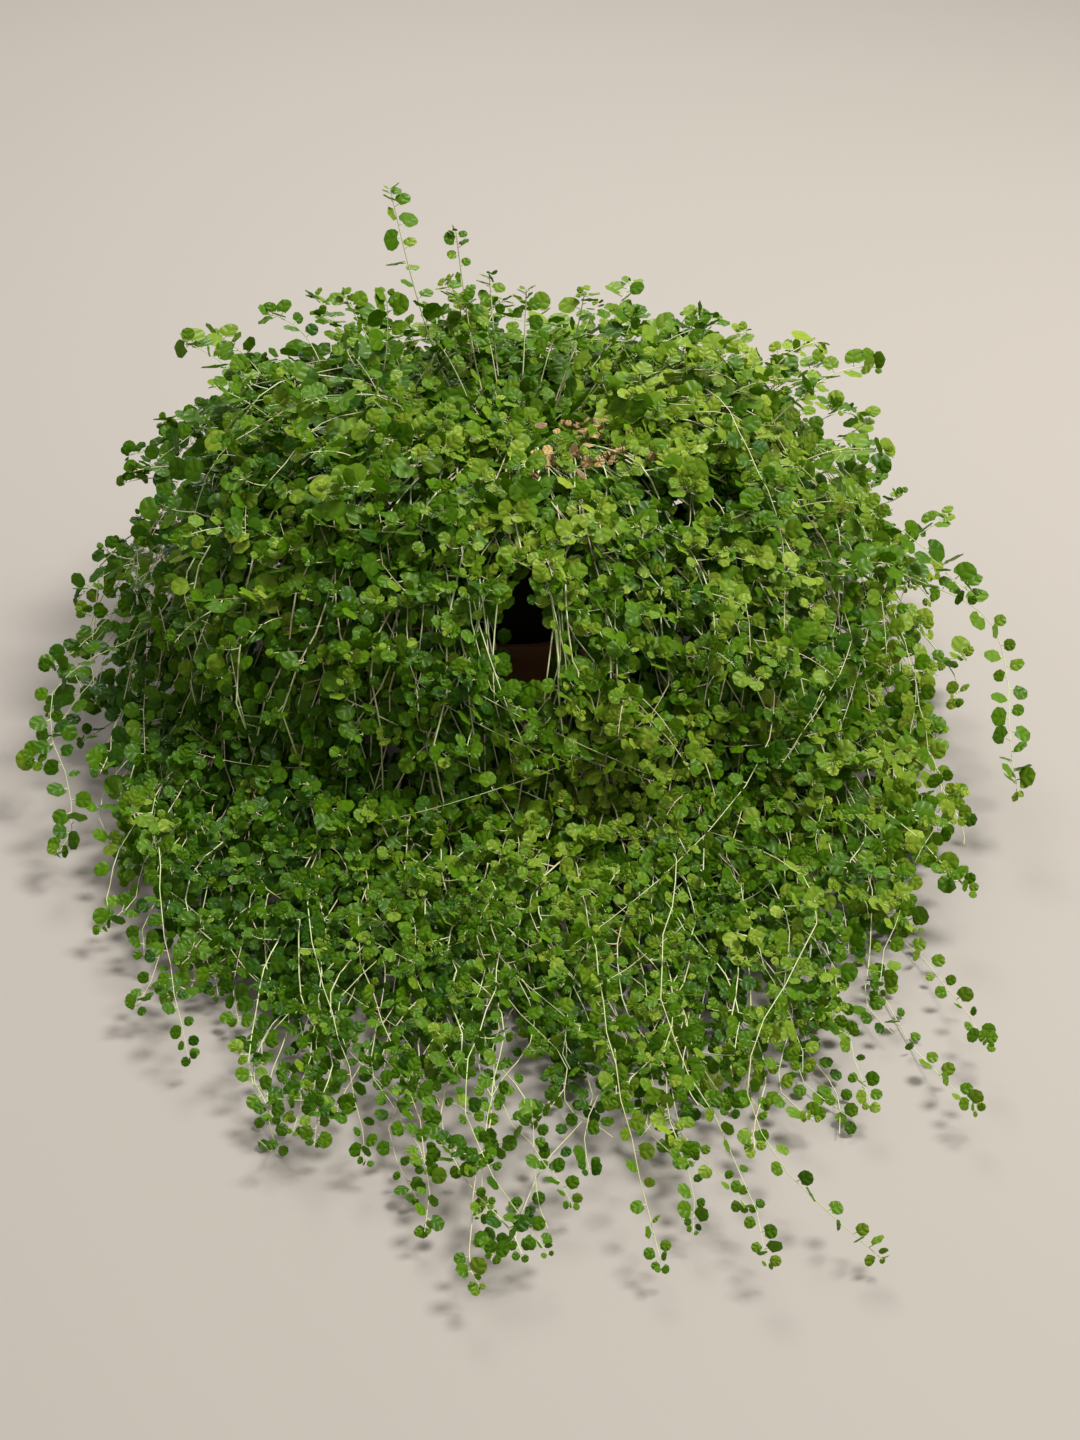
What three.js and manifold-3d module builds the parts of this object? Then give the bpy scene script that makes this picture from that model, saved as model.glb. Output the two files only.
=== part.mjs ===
// A trailing vine with small round leaves in a black nursery pot on a low terracotta-coloured saucer.
// Millimetres, +Z up. The origin is the centre of the saucer's underside, and the front is -Y.
// Stems rise from the soil, arch over the pot's rim all round and run out along the surface,
// furthest at the front, where they make a tapering tongue.

import * as THREE from 'three';
import { mergeVertices } from 'three/addons/utils/BufferGeometryUtils.js';
import Module from 'manifold-3d';

// Driving dimensions of the holders
const GAP = 0.3;
const SAUCER = { rimR: 59, footR: 51, height: 32, wall: 2.6, floor: 3, bandH: 6.5, bandOut: 1.8 };
const POT = { rimR: 64, baseR: 45, height: 106.7, wall: 1.8, bandH: 12, bandOut: 2.4, lipH: 3 };
const DRAIN = { count: 6, radius: 5, ringR: 30, sides: 8 };
const SOIL_TOP = 100;
const LATHE_SIDES = 28;

// Driving dimensions of the stems and leaves
const STEM_R = 1.6;
const SHOOT_R = 1.3;
const STEM_SIDES = 3;
const HOLE = { radius: 2.5, depth: 9 };
const NODE_STEP = 34.5;
const LEAF = { length: 27, width: 28, thick: 2.4, cup: 4 };
const LEAF_KINDS = [
  { wide: 0.95, cup: 1 }, { wide: 1.01, cup: 0.75 }, { wide: 1.07, cup: 0.5 }, { wide: 1.13, cup: -0.5 },
];
const BLADE = { sides: 6, heart: 0.42, shoulder: 0.06, shoulderWide: 0.86, shoulderTurn: 1.2 };

// Where leaves leave a straight length of stem, as shares of it
const LEAF_AT = { first: 0.27, second: 0.76, tip: [0.5, 0.85] };

// How a leaf is held: its lean along the stem, its lift from it, and how it is turned about itself
const POSE = {
  lean: [0.1, 0.7], lift: [0.05, 0.75], liftPerTry: 0.08, roll: 0.5, sunk: 0.55, leastThick: 0.8,
};
const TRIES = 16;
const SHRINK = { perTry: 0.05, afterTry: 2 };

// Size of a leaf: full on the dome's skirt, smaller where stems crowd on top and at far tips
const CROWDED = { size: 0.62, fromR: 40, overR: 100 };
const FAR = { loss: 0.3, fromR: 210, overR: 150 };

// Where the foliage ends on the surface: its half width, its reach to the front and to the back
const SPREAD = {
  side: 188, front: 440, back: 172, frontTurn: 100, sideY: 90, skew: 26, taper: 0.95, frontPower: 1.45,
};
const REACH = [0.93, 1.1];
const FLOOR_CLEAR = 0.4;

// Layers of stems. The under layer springs from the outer ring of holes and arches low over the rim,
// the over layer springs from the inner ring and lies on it.
const UNDER = {
  count: 15, rootR: 53, crest: 119, shoulderR: 84, landR: 152, trailZ: 7, reach: 0.86, frontBias: 0.22,
  firstLeaf: 4, pairedTo: 0,
};
const OVER = {
  count: 26, rootR: 42, crest: 139, shoulderR: 122, landR: 206, trailZ: 27, reach: 1.0, frontBias: 0.215,
  firstLeaf: 2, pairedTo: 4,
};

// Course of a layer's stem: its rise from the soil, its dome, its fall to the surface and its sway
const RISE = { start: 4, z: 14, run: 26 };
const RIM_CLEAR_R = 72;
const DOME = { power: 2.4, round: 0.8 };
const BEND = { past: 1.04, toEnd: 0.08 };
const TRAIL = { lift: 2.4, fade: 0.75 };
const CREST_VARY = 3;
const SWAY = { size: [2.5, 4.5], wave: 130, grow: 60 };
const CURL = { share: 0.4, size: [6, 16], run: 34 };

// Stems that arch out over the others and end in the air
const ARCHING = {
  rootR: 36.5, crest: 152, droop: 3.2, rise: 36, riseZ: 16, start: 0.1, step: 30.6, sway: 3, swayTurns: 6,
  firstLeaf: 3,
};
const ARCHING_ENDS = [
  [-222, -28, 62], [-206, 48, 40], [-176, -104, 92], [200, -84, 88], [236, -14, 52], [214, 70, 40],
  [-74, 160, 46],
];

// The crown: its core of matted stems, and the shoots that stand out of it
const CORE = { radius: 31, height: 27, sides: 9, foot: 0.9, belly: 0.3, brow: 0.72, browZ: 0.8 };
const TALL_SHOOTS = [
  [-62, 66, 226], [-29, 50, 210], [-85, 40, 180], [-13, 70, 181], [35, 20, 188], [89, 50, 168],
  [104, 66, 158], [6, 60, 176],
];
const TALL = { footX: 0.18, footY: 0.2, footZ: 0.55, step: 21, lean: 0.45, straight: 1 };
const SHORT = {
  count: 12, fromR: 8, toR: 32, foot: 0.6, tip: 1.25, footZ: 0.5, z: [138, 152], lean: 1.7, straight: 0.25,
};
const SHOOT_LEAF = 0.95;
const GOLDEN_ANGLE = Math.PI * (3 - Math.sqrt(5));

// Each use of the repeatable draw has a key of its own
const USE = {
  reach: 1, crest: 2, sway: 3, swayHand: 4, curl: 5, curlSize: 6, phase: 7, kind: 8, shade: 9, lean: 11,
  lift: 31, roll: 51, size: 70, tip: 91, shoots: 301,
};

// Colour and roughness of each finish
const LOOKS = {
  saucer: ['#a4532f', 0.7],
  pot: ['#101214', 0.42],
  soil: ['#2c2018', 0.95],
  crown: ['#5f7a2c', 0.55],
};
const VINE_LOOK = { deep: new THREE.Color('#4c6a22'), light: new THREE.Color('#7d9a3c'), roughness: 0.55 };

const wasm = await Module();
wasm.setup();
const { Manifold, Mesh } = wasm;
const UP = new THREE.Vector3(0, 0, 1);
const MERGE_WITHIN = 1e-4;

// A repeatable draw between 0 and 1 for item i and use k
function draw(i, k) {
  const s = Math.sin(i * 12.9898 + k * 78.233) * 43758.5453;
  return s - Math.floor(s);
}

function spread(i, k, [low, high]) {
  return low + (high - low) * draw(i, k);
}

function smoothStep(x) {
  const t = Math.min(1, Math.max(0, x));
  return t * t * (3 - 2 * t);
}

// A point in plan at a radius and an angle from +X
function onRing(radius, angle, z) {
  return new THREE.Vector3(radius * Math.cos(angle), radius * Math.sin(angle), z);
}

// A closed solid from a three.js geometry
function solidOf(geometry) {
  const loose = geometry.index ? geometry.toNonIndexed() : geometry.clone();
  loose.deleteAttribute('normal');
  loose.deleteAttribute('uv');
  const merged = mergeVertices(loose, MERGE_WITHIN);
  const index = merged.index.array;
  const kept = [];
  for (let t = 0; t < index.length; t += 3) {
    const [a, b, c] = index.slice(t, t + 3);
    const isFace = a !== b && b !== c && a !== c;
    kept.push(...(isFace ? [a, b, c] : []));
  }
  return new Manifold(new Mesh({
    numProp: 3,
    vertProperties: new Float32Array(merged.attributes.position.array),
    triVerts: Uint32Array.from(kept),
  }));
}

function meshOf(name, solid, [colour, roughness]) {
  const data = solid.getMesh();
  const geometry = new THREE.BufferGeometry();
  geometry.setAttribute('position', new THREE.BufferAttribute(data.vertProperties, 3));
  geometry.setIndex(new THREE.BufferAttribute(data.triVerts, 1));
  geometry.computeVertexNormals();
  const mesh = new THREE.Mesh(geometry, new THREE.MeshStandardMaterial({ color: colour, roughness }));
  mesh.name = name;
  return mesh;
}

// A turned solid from a profile of radius and height pairs that starts and ends on the axis
function turned(profile, sides = LATHE_SIDES) {
  const points = profile.map(([r, z]) => new THREE.Vector2(r, z));
  const geometry = new THREE.LatheGeometry(points, sides);
  geometry.rotateX(Math.PI / 2);
  return solidOf(geometry);
}

function saucerSolid() {
  const { rimR, footR, height, wall, floor, bandH, bandOut } = SAUCER;
  const bandZ = height - bandH;
  const wallR = (z) => footR + (rimR - bandOut - footR) * z / height;
  return turned([
    [0, 0], [footR - 1, 0], [wallR(1), 1], [wallR(bandZ), bandZ],
    [rimR, bandZ + 0.8], [rimR, height - 1.2], [rimR - 1.2, height],
    [wallR(height) - wall + 0.6, height], [wallR(height) - wall, height - 1],
    [wallR(floor + 3) - wall, floor + 3], [wallR(floor) - wall - 3, floor], [0, floor],
  ]);
}

// The pot stands on the saucer's floor
const POT_Z = SAUCER.floor + GAP;
const potOuterR = (z) => POT.baseR + (POT.rimR - POT.bandOut - POT.baseR) * (z - POT_Z) / POT.height;
const potInnerR = (z) => potOuterR(z) - POT.wall;

function potSolid() {
  const top = POT_Z + POT.height;
  const bandZ = top - POT.bandH;
  const floorZ = POT_Z + POT.wall;
  const shell = turned([
    [0, POT_Z], [POT.baseR - 1.2, POT_Z], [potOuterR(POT_Z + 1.2), POT_Z + 1.2],
    [potOuterR(bandZ), bandZ], [POT.rimR - 0.8, bandZ + 0.6], [POT.rimR - 0.4, top - POT.lipH],
    [POT.rimR, top - 0.8], [POT.rimR - 0.8, top], [potInnerR(top) + 0.5, top],
    [potInnerR(top - 1), top - 1], [potInnerR(floorZ), floorZ], [0, floorZ],
  ]);
  const holes = [];
  for (let i = 0; i < DRAIN.count; i += 1) {
    const angle = (i + 0.5) * 2 * Math.PI / DRAIN.count;
    const plug = new THREE.CylinderGeometry(DRAIN.radius, DRAIN.radius, 3 * POT.wall, DRAIN.sides);
    plug.rotateX(Math.PI / 2);
    plug.translate(...onRing(DRAIN.ringR, angle, POT_Z + POT.wall / 2));
    holes.push(solidOf(plug));
  }
  return shell.subtract(Manifold.union(holes));
}

// Soil that fills the pot, with a plain hole for each stem's foot
function soilSolid(feet) {
  const low = POT_Z + POT.wall + GAP;
  const plug = turned([
    [0, low], [potInnerR(low) - GAP, low], [potInnerR(SOIL_TOP) - GAP, SOIL_TOP], [0, SOIL_TOP],
  ]);
  const holes = feet.map((foot) => {
    const hole = new THREE.CylinderGeometry(HOLE.radius, HOLE.radius, 2 * HOLE.depth, STEM_SIDES);
    hole.rotateX(Math.PI / 2);
    hole.rotateZ(Math.atan2(foot.y, foot.x) - Math.PI / 2);
    hole.translate(foot.x, foot.y, SOIL_TOP);
    return solidOf(hole);
  });
  return plug.subtract(Manifold.union(holes));
}

// The end on the surface of a stem that leaves the pot at a given angle from the front
function restingEnd(angle, reach) {
  const turn = angle * 180 / Math.PI / SPREAD.frontTurn;
  const side = Math.abs(turn);
  if (side < 1) {
    const bend = turn * Math.PI / 2;
    const x = SPREAD.side * Math.sign(turn) * Math.abs(Math.sin(bend)) ** SPREAD.taper;
    const y = SPREAD.sideY + (SPREAD.front - SPREAD.sideY) * Math.cos(bend) ** SPREAD.frontPower;
    return new THREE.Vector3(reach * x + SPREAD.skew * Math.cos(bend), -reach * y, 0);
  }
  const back = smoothStep((side - 1) / (180 / SPREAD.frontTurn - 1));
  const sideR = Math.hypot(SPREAD.side, SPREAD.sideY);
  const radius = reach * (sideR + (SPREAD.back - sideR) * Math.sqrt(back));
  return onRing(radius, angle - Math.PI / 2, 0);
}

// A stem's foot in its hole, and where it leaves the soil
function footPoints(foot) {
  return [foot.clone().setZ(SOIL_TOP - HOLE.depth + GAP), foot.clone().setZ(SOIL_TOP + 1)];
}

// Course of a stem of a layer: straight out over the rim, then on a bend to its resting end.
// The points are the stem's nodes, NODE_STEP apart, after two in its hole.
function layerCourse(layer, angle, seed) {
  const out = onRing(1, angle - Math.PI / 2, 0);
  const end = restingEnd(angle, layer.reach * spread(seed, USE.reach, REACH));
  const shoulder = out.clone().multiplyScalar(layer.shoulderR);
  const control = out.clone().multiplyScalar(layer.landR * BEND.past).lerp(end, BEND.toEnd);
  const bend = new THREE.QuadraticBezierCurve3(shoulder, control, end);
  const bendLength = bend.getLength();
  const straight = layer.shoulderR - layer.rootR;
  const run = straight + bendLength - RISE.start;
  const total = straight + bendLength;
  const fallEnd = Math.min(layer.landR - layer.rootR, run);
  const fallStart = RIM_CLEAR_R - layer.rootR;
  const crest = layer.crest + spread(seed, USE.crest, [-CREST_VARY, CREST_VARY]);
  const hand = draw(seed, USE.swayHand) < 0.5 ? -1 : 1;
  const sway = hand * spread(seed, USE.sway, SWAY.size);
  const curl = draw(seed, USE.curl) < CURL.share ? spread(seed, USE.curlSize, CURL.size) : 0;
  const points = footPoints(out.clone().multiplyScalar(layer.rootR));
  const count = Math.round(run / NODE_STEP);
  for (let k = 0; k <= count; k += 1) {
    const h = RISE.start + run * k / count;
    const u = Math.min(1, Math.max(0, (h - straight) / bendLength));
    const plan = u > 0 ? bend.getPointAt(u) : out.clone().multiplyScalar(layer.rootR + h);
    const heading = u > 0 ? bend.getTangentAt(u) : out;
    const side = new THREE.Vector3().crossVectors(heading, UP);
    const wave = Math.sin(2 * Math.PI * (h / SWAY.wave + draw(seed, USE.phase)));
    plan.addScaledVector(side, sway * wave * smoothStep((h - straight) / SWAY.grow));
    const dome = Math.min(1, Math.max(0, (h - fallStart) / (fallEnd - fallStart)));
    const round = (1 - dome ** DOME.power) ** (1 / DOME.power);
    const stay = DOME.round * round + (1 - DOME.round) * (1 - smoothStep(dome));
    const faded = 1 - TRAIL.fade * smoothStep((h - fallEnd) / (total - fallEnd + 1));
    const low = layer.trailZ * faded + TRAIL.lift;
    const riseZ = SOIL_TOP + RISE.z;
    const high = riseZ + (crest - riseZ) * smoothStep(h / RISE.run);
    const tip = curl * smoothStep((h - total + CURL.run) / CURL.run);
    points.push(plan.setZ(low + (high - low) * stay + tip));
  }
  return points;
}

// Course of a stem that arches out over the others and ends in the air
function archingCourse(end, seed) {
  const tip = new THREE.Vector3(...end);
  const out = tip.clone().setZ(0).normalize();
  const side = new THREE.Vector3().crossVectors(out, UP);
  const reach = Math.hypot(tip.x, tip.y) - ARCHING.rootR;
  const riseZ = SOIL_TOP + ARCHING.riseZ;
  const points = footPoints(out.clone().multiplyScalar(ARCHING.rootR));
  const count = Math.round(reach / ARCHING.step);
  for (let k = 0; k <= count; k += 1) {
    const f = k / count;
    const h = RISE.start + (reach - RISE.start) * f;
    const plan = out.clone().multiplyScalar(ARCHING.rootR + h);
    plan.addScaledVector(side, ARCHING.sway * f * Math.sin(ARCHING.swayTurns * f + seed));
    const high = riseZ + (ARCHING.crest - riseZ) * smoothStep(h / ARCHING.rise);
    const droop = (Math.max(0, f - ARCHING.start) / (1 - ARCHING.start)) ** ARCHING.droop;
    points.push(plan.setZ(high + (tip.z - ARCHING.crest) * droop));
  }
  return points;
}

// Directions at a place on a stem that runs along a tangent: to its side, and out of the plant
function sideAndOutward(tangent, place) {
  const isUpright = Math.hypot(tangent.x, tangent.y) < 0.05;
  const heading = (isUpright ? place : tangent).clone().setZ(0).normalize();
  const side = new THREE.Vector3().crossVectors(heading, UP);
  const outward = new THREE.Vector3().crossVectors(side, tangent).normalize();
  return { side, outward };
}

// A curve whose stations are its own points, so that a stem has one straight length between nodes,
// and whose section keeps one edge outward, so that leaves leave it through its flat sides
class NodeCurve extends THREE.CatmullRomCurve3 {
  getUtoTmapping(u) {
    return u;
  }

  computeFrenetFrames(segments) {
    const frames = { tangents: [], normals: [], binormals: [] };
    for (let i = 0; i <= segments; i += 1) {
      const tangent = this.getTangentAt(i / segments);
      const { side, outward } = sideAndOutward(tangent, this.getPointAt(i / segments));
      frames.tangents.push(tangent);
      frames.normals.push(side);
      frames.binormals.push(outward.negate());
    }
    return frames;
  }
}

function stemSolid(points, radius = STEM_R) {
  const corners = [];
  for (let k = 0; k < STEM_SIDES; k += 1) {
    const corner = onRing(radius, 2 * Math.PI * k / STEM_SIDES - Math.PI / 2, 0);
    corners.push(new THREE.Vector2(corner.x, corner.y));
  }
  const geometry = new THREE.ExtrudeGeometry(new THREE.Shape(corners), {
    steps: points.length - 1,
    extrudePath: new NodeCurve(points, false, 'catmullrom', 0.5),
    bevelEnabled: false,
    curveSegments: 1,
  });
  return solidOf(geometry);
}

// A round leaf blade with a narrow foot, domed, thickest near its foot. It lies along +Y from its foot.
function bladeSolid(kind) {
  const { length, thick } = LEAF;
  const width = LEAF.width * kind.wide;
  const geometry = new THREE.SphereGeometry(1, BLADE.sides, 2, Math.PI / 2);
  geometry.rotateX(Math.PI / 2);
  const position = geometry.attributes.position;
  for (let v = 0; v < position.count; v += 1) {
    const [x, y, z] = [position.getX(v), position.getY(v), position.getZ(v)];
    const angle = Math.atan2(x, -y);
    if (Math.abs(z) > 0.5) {
      position.setXYZ(v, 0, length * BLADE.heart, LEAF.cup * kind.cup + Math.sign(z) * thick / 2);
    } else if (Math.abs(angle) < 0.1) {
      position.setXYZ(v, 0, 0, 0);
    } else {
      const narrowed = Math.abs(angle) < BLADE.shoulderTurn ? BLADE.shoulderWide : 1;
      const along = BLADE.shoulder + (1 - BLADE.shoulder) * 0.5 * (1 - Math.cos(angle));
      position.setXYZ(v, 0.5 * width * narrowed * Math.sin(angle), length * along, 0);
    }
  }
  return solidOf(geometry);
}

// Blades, made once and turned into place
const BLADES = LEAF_KINDS.map(bladeSolid);

// Place and directions in the straight length of a stem that ends at point k
function nodeFrame(points, k, part) {
  const tangent = points[k].clone().sub(points[k - 1]).normalize();
  const place = points[k - 1].clone().lerp(points[k], part);
  return { place, tangent, ...sideAndOutward(tangent, place) };
}

// A blade at a node, on the given side, with a lean and a twist that a try number varies
function bladeAt(points, k, part, hand, size, seed, attempt) {
  const { place, tangent, side, outward } = nodeFrame(points, k, part);
  const lean = spread(seed, USE.lean + attempt, POSE.lean);
  const lift = spread(seed, USE.lift + attempt, [POSE.lift[0], POSE.lift[1] + POSE.liftPerTry * attempt]);
  const roll = spread(seed, USE.roll + attempt, [-POSE.roll, POSE.roll]);
  const along = side.clone().multiplyScalar(hand);
  along.addScaledVector(tangent, lean).addScaledVector(outward, lift).normalize();
  const face = outward.clone().addScaledVector(tangent, roll);
  const across = new THREE.Vector3().crossVectors(along, face).normalize();
  const normal = new THREE.Vector3().crossVectors(across, along).normalize();
  const foot = place.addScaledVector(along, -POSE.sunk);
  const matrix = new THREE.Matrix4().makeBasis(across, along, normal).setPosition(foot);
  matrix.scale(new THREE.Vector3(size, size, Math.max(size, POSE.leastThick)));
  return BLADES[Math.floor(BLADES.length * draw(seed, USE.kind))].transform(matrix.elements.slice());
}

// Everything placed so far, with its box, for keeping clear of it
const placed = [];

function isClear(solid, box, ownStem) {
  if (box.min[2] < FLOOR_CLEAR) {
    return false;
  }
  return placed.every((other) => {
    if (other.solid === ownStem) {
      return true;
    }
    const isApart = [0, 1, 2].some((axis) => (
      box.min[axis] > other.box.max[axis] + GAP || box.max[axis] < other.box.min[axis] - GAP
    ));
    return isApart || solid.minGap(other.solid, 2 * GAP) > GAP;
  });
}

function keep(solid) {
  placed.push({ solid, box: solid.boundingBox() });
  return solid;
}

// Leaf nodes of a stem: one in each straight length, a second one up to a given length, two at the tip
function leafNodes(points, first, pairedTo) {
  const nodes = [];
  const last = points.length - 1;
  for (let k = first; k < last; k += 1) {
    nodes.push([k, LEAF_AT.first]);
    if (k <= pairedTo) {
      nodes.push([k, LEAF_AT.second]);
    }
  }
  LEAF_AT.tip.forEach((part) => nodes.push([last, part]));
  return nodes;
}

function sizeAt(place) {
  const r = Math.hypot(place.x, place.y);
  const crowded = CROWDED.size + (1 - CROWDED.size) * smoothStep((r - CROWDED.fromR) / CROWDED.overR);
  return crowded * (1 - FAR.loss * smoothStep((r - FAR.fromR) / FAR.overR));
}

// Blades along a stem, left and right by turns. Each is tried with a few leans until it is clear
// of all others, or left out.
function leavesAlong(points, stem, nodes, seed, scale) {
  const blades = [];
  nodes.forEach(([k, part], n) => {
    const hand = (n + seed) % 2 ? 1 : -1;
    const full = scale * sizeAt(points[k]) * spread(seed, USE.size + n, [0.9, 1.1]);
    for (let attempt = 0; attempt < TRIES; attempt += 1) {
      const size = full * (1 - SHRINK.perTry * Math.max(0, attempt - SHRINK.afterTry));
      const blade = bladeAt(points, k, part, hand, size, seed * 31 + n * 7, attempt);
      if (isClear(blade, blade.boundingBox(), stem)) {
        blades.push(keep(blade));
        break;
      }
    }
  });
  return blades;
}

// Angles of a layer's stems from the front, closer together there than at the back
function layerAngles(layer) {
  const angles = [];
  for (let j = 0; j < layer.count; j += 1) {
    const t = (j + 0.5) / layer.count * 2 - 1;
    angles.push(Math.PI * (t * (1 - layer.frontBias) + layer.frontBias * t ** 3));
  }
  return angles;
}

// Courses of all leafy stems, each with the seed of its draws and the nodes of its leaves
function vineCourses() {
  const courses = [];
  const add = (points, first, pairedTo) => {
    courses.push({ points, nodes: leafNodes(points, first, pairedTo) });
  };
  [UNDER, OVER].forEach((layer) => layerAngles(layer).forEach((angle) => {
    add(layerCourse(layer, angle, courses.length + 1), layer.firstLeaf, layer.pairedTo);
  }));
  ARCHING_ENDS.forEach((end) => {
    add(archingCourse(end, courses.length + 1), ARCHING.firstLeaf, 0);
  });
  return courses;
}

// Course of an upright shoot from the crown's core to its tip
function shootCourse(foot, tip, count, { lean, straight }) {
  const points = [];
  for (let k = 0; k <= count; k += 1) {
    const f = k / count;
    const rise = straight * f + (1 - straight) * Math.sin(f * Math.PI / 2);
    const point = foot.clone().lerp(tip, f ** lean);
    points.push(point.setZ(foot.z + (tip.z - foot.z) * rise));
  }
  return points;
}

// Courses of the crown's shoots: the tall ones, then short ones that lean out all round
function crownCourses(base) {
  const tall = TALL_SHOOTS.map(([x, y, z]) => {
    const foot = new THREE.Vector3(TALL.footX * x, TALL.footY * y, base + TALL.footZ * CORE.height);
    const count = Math.round((z - foot.z) / TALL.step);
    return shootCourse(foot, new THREE.Vector3(x, y, z), count, TALL);
  });
  const short = [];
  for (let i = 0; i < SHORT.count; i += 1) {
    const angle = i * GOLDEN_ANGLE;
    const ring = SHORT.fromR + (SHORT.toR - SHORT.fromR) * Math.sqrt((i + 0.5) / SHORT.count);
    const foot = onRing(SHORT.foot * ring, angle, base + SHORT.footZ * CORE.height);
    const tip = onRing(SHORT.tip * ring, angle, spread(i, USE.tip, SHORT.z));
    short.push(shootCourse(foot, tip, 2, SHORT));
  }
  return [...tall, ...short];
}

// The crown: a small core of matted stems on the soil, and the shoots and leaves that stand out of it
function crownSolid() {
  const base = SOIL_TOP + GAP;
  const { radius, height, sides } = CORE;
  const core = turned([
    [0, base], [radius * CORE.foot, base], [radius, base + height * CORE.belly],
    [radius * CORE.brow, base + height * CORE.browZ], [0, base + height],
  ], sides);
  const parts = [keep(core)];
  crownCourses(base).forEach((points, i) => {
    const stem = stemSolid(points, SHOOT_R);
    parts.push(keep(stem));
    parts.push(...leavesAlong(points, stem, leafNodes(points, 1, 0), USE.shoots + i, SHOOT_LEAF));
  });
  return Manifold.union(parts);
}

// Put together
const plant = new THREE.Group();
const courses = vineCourses();
const stems = courses.map(({ points }) => keep(stemSolid(points)));
const feet = courses.map(({ points }) => points[0]);
plant.add(meshOf('saucer', keep(saucerSolid()), LOOKS.saucer));
plant.add(meshOf('nursery_pot', keep(potSolid()), LOOKS.pot));
plant.add(meshOf('soil', keep(soilSolid(feet)), LOOKS.soil));
plant.add(meshOf('crown', crownSolid(), LOOKS.crown));
courses.forEach(({ points, nodes }, i) => {
  const blades = leavesAlong(points, stems[i], nodes, i + 1, 1);
  const shade = VINE_LOOK.deep.clone().lerp(VINE_LOOK.light, draw(i + 1, USE.shade));
  const name = `vine_${String(i + 1).padStart(2, '0')}`;
  plant.add(meshOf(name, Manifold.union([stems[i], ...blades]), [shade, VINE_LOOK.roughness]));
});

export default plant;
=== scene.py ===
"""A trailing vine with small round puckered leaves, in a black nursery pot on a low saucer.

Lengths are millimetres while a piece is shaped, and a finished mesh is scaled to metres.
"""

import math
import random
from collections import namedtuple
from functools import cache
from types import SimpleNamespace as Plan

import bmesh
import bpy
from mathutils import Matrix, Vector, noise


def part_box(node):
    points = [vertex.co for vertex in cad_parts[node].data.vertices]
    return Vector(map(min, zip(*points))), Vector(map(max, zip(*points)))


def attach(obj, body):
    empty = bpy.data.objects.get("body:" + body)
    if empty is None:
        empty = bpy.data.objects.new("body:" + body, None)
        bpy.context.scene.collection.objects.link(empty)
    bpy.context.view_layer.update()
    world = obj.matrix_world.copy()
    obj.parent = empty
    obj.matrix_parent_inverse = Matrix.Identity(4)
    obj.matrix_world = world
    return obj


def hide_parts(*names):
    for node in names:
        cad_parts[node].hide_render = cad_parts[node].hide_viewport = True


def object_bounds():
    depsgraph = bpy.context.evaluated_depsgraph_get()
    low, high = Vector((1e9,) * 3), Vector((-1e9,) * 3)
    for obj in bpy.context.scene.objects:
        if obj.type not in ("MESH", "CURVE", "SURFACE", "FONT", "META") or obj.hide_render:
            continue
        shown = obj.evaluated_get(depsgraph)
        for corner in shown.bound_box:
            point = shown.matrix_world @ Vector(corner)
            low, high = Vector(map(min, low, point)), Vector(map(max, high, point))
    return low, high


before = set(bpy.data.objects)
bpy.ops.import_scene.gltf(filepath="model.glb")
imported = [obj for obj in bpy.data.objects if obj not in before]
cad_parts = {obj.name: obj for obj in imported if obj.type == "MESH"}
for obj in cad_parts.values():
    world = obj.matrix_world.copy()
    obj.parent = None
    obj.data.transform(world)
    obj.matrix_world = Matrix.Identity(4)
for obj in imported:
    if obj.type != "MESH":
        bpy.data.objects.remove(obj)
CAD_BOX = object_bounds()

bl_info = {
    "name": "Potted Trailing Vine",
    "version": (1, 0, 0),
    "blender": (4, 5, 0),
    "location": "View3D > Sidebar > Vine",
    "description": "A trailing plant with small round leaves in a nursery pot on a saucer",
    "category": "Add Mesh",
}

MM = 0.001
UP = Vector((0, 0, 1))
FULL_TURN = 2 * math.pi
GOLDEN_ANGLE = 2.39996

# The frame's own sizes
SOIL_LOW, SOIL_HIGH = (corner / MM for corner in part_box("soil"))
POT_LOW, POT_HIGH = (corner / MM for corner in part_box("nursery_pot"))
SAUCER_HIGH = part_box("saucer")[1] / MM
REACH_LOW, REACH_HIGH = (corner / MM for corner in CAD_BOX)
SOIL_TOP = SOIL_HIGH.z

# Courses of the stems, as in the part's source
FOOT_DEPTH = 8.7
RISE = Plan(start=4, z=14, run=26)
RIM_CLEAR_R = 72
DOME = Plan(power=2.4, round=0.8)
BEND = Plan(past=1.04, to_end=0.08)
TRAIL = Plan(lift=2.4, fade=0.75)
CREST_VARY = 3
SWAY = Plan(size=(2.5, 4.5), wave=130, grow=60)
CURL = Plan(share=0.4, size=(6, 16), run=34)
SPREAD = Plan(
    side=188, front=440, back=172, front_turn=100, side_y=90, skew=26,
    taper=0.95, front_power=1.45, least=0.93, most=1.1,
)
LAYERS = (
    Plan(count=15, root=53, crest=119, shoulder=84, land=152, trail=7, reach=0.86, front_bias=0.22,
         kind="under"),
    Plan(count=26, root=42, crest=139, shoulder=122, land=206, trail=27, reach=1.0, front_bias=0.215,
         kind="over"),
)
ARCHING = Plan(root=36.5, crest=152, rise_z=16, rise_run=36, droop=3.2, level=0.1, sway=3)
ARCHING_ENDS = (
    (-222, -28, 62), (-206, 48, 40), (-176, -104, 92), (200, -84, 88), (236, -14, 52), (214, 70, 40),
    (-74, 160, 46),
)
TALL_TIPS = (
    (-62, 66, 226), (-29, 50, 210), (-85, 40, 180), (-13, 70, 181), (35, 20, 188), (89, 50, 168),
    (104, 66, 158), (6, 60, 176),
)
CORE_HEIGHT = 27
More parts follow.
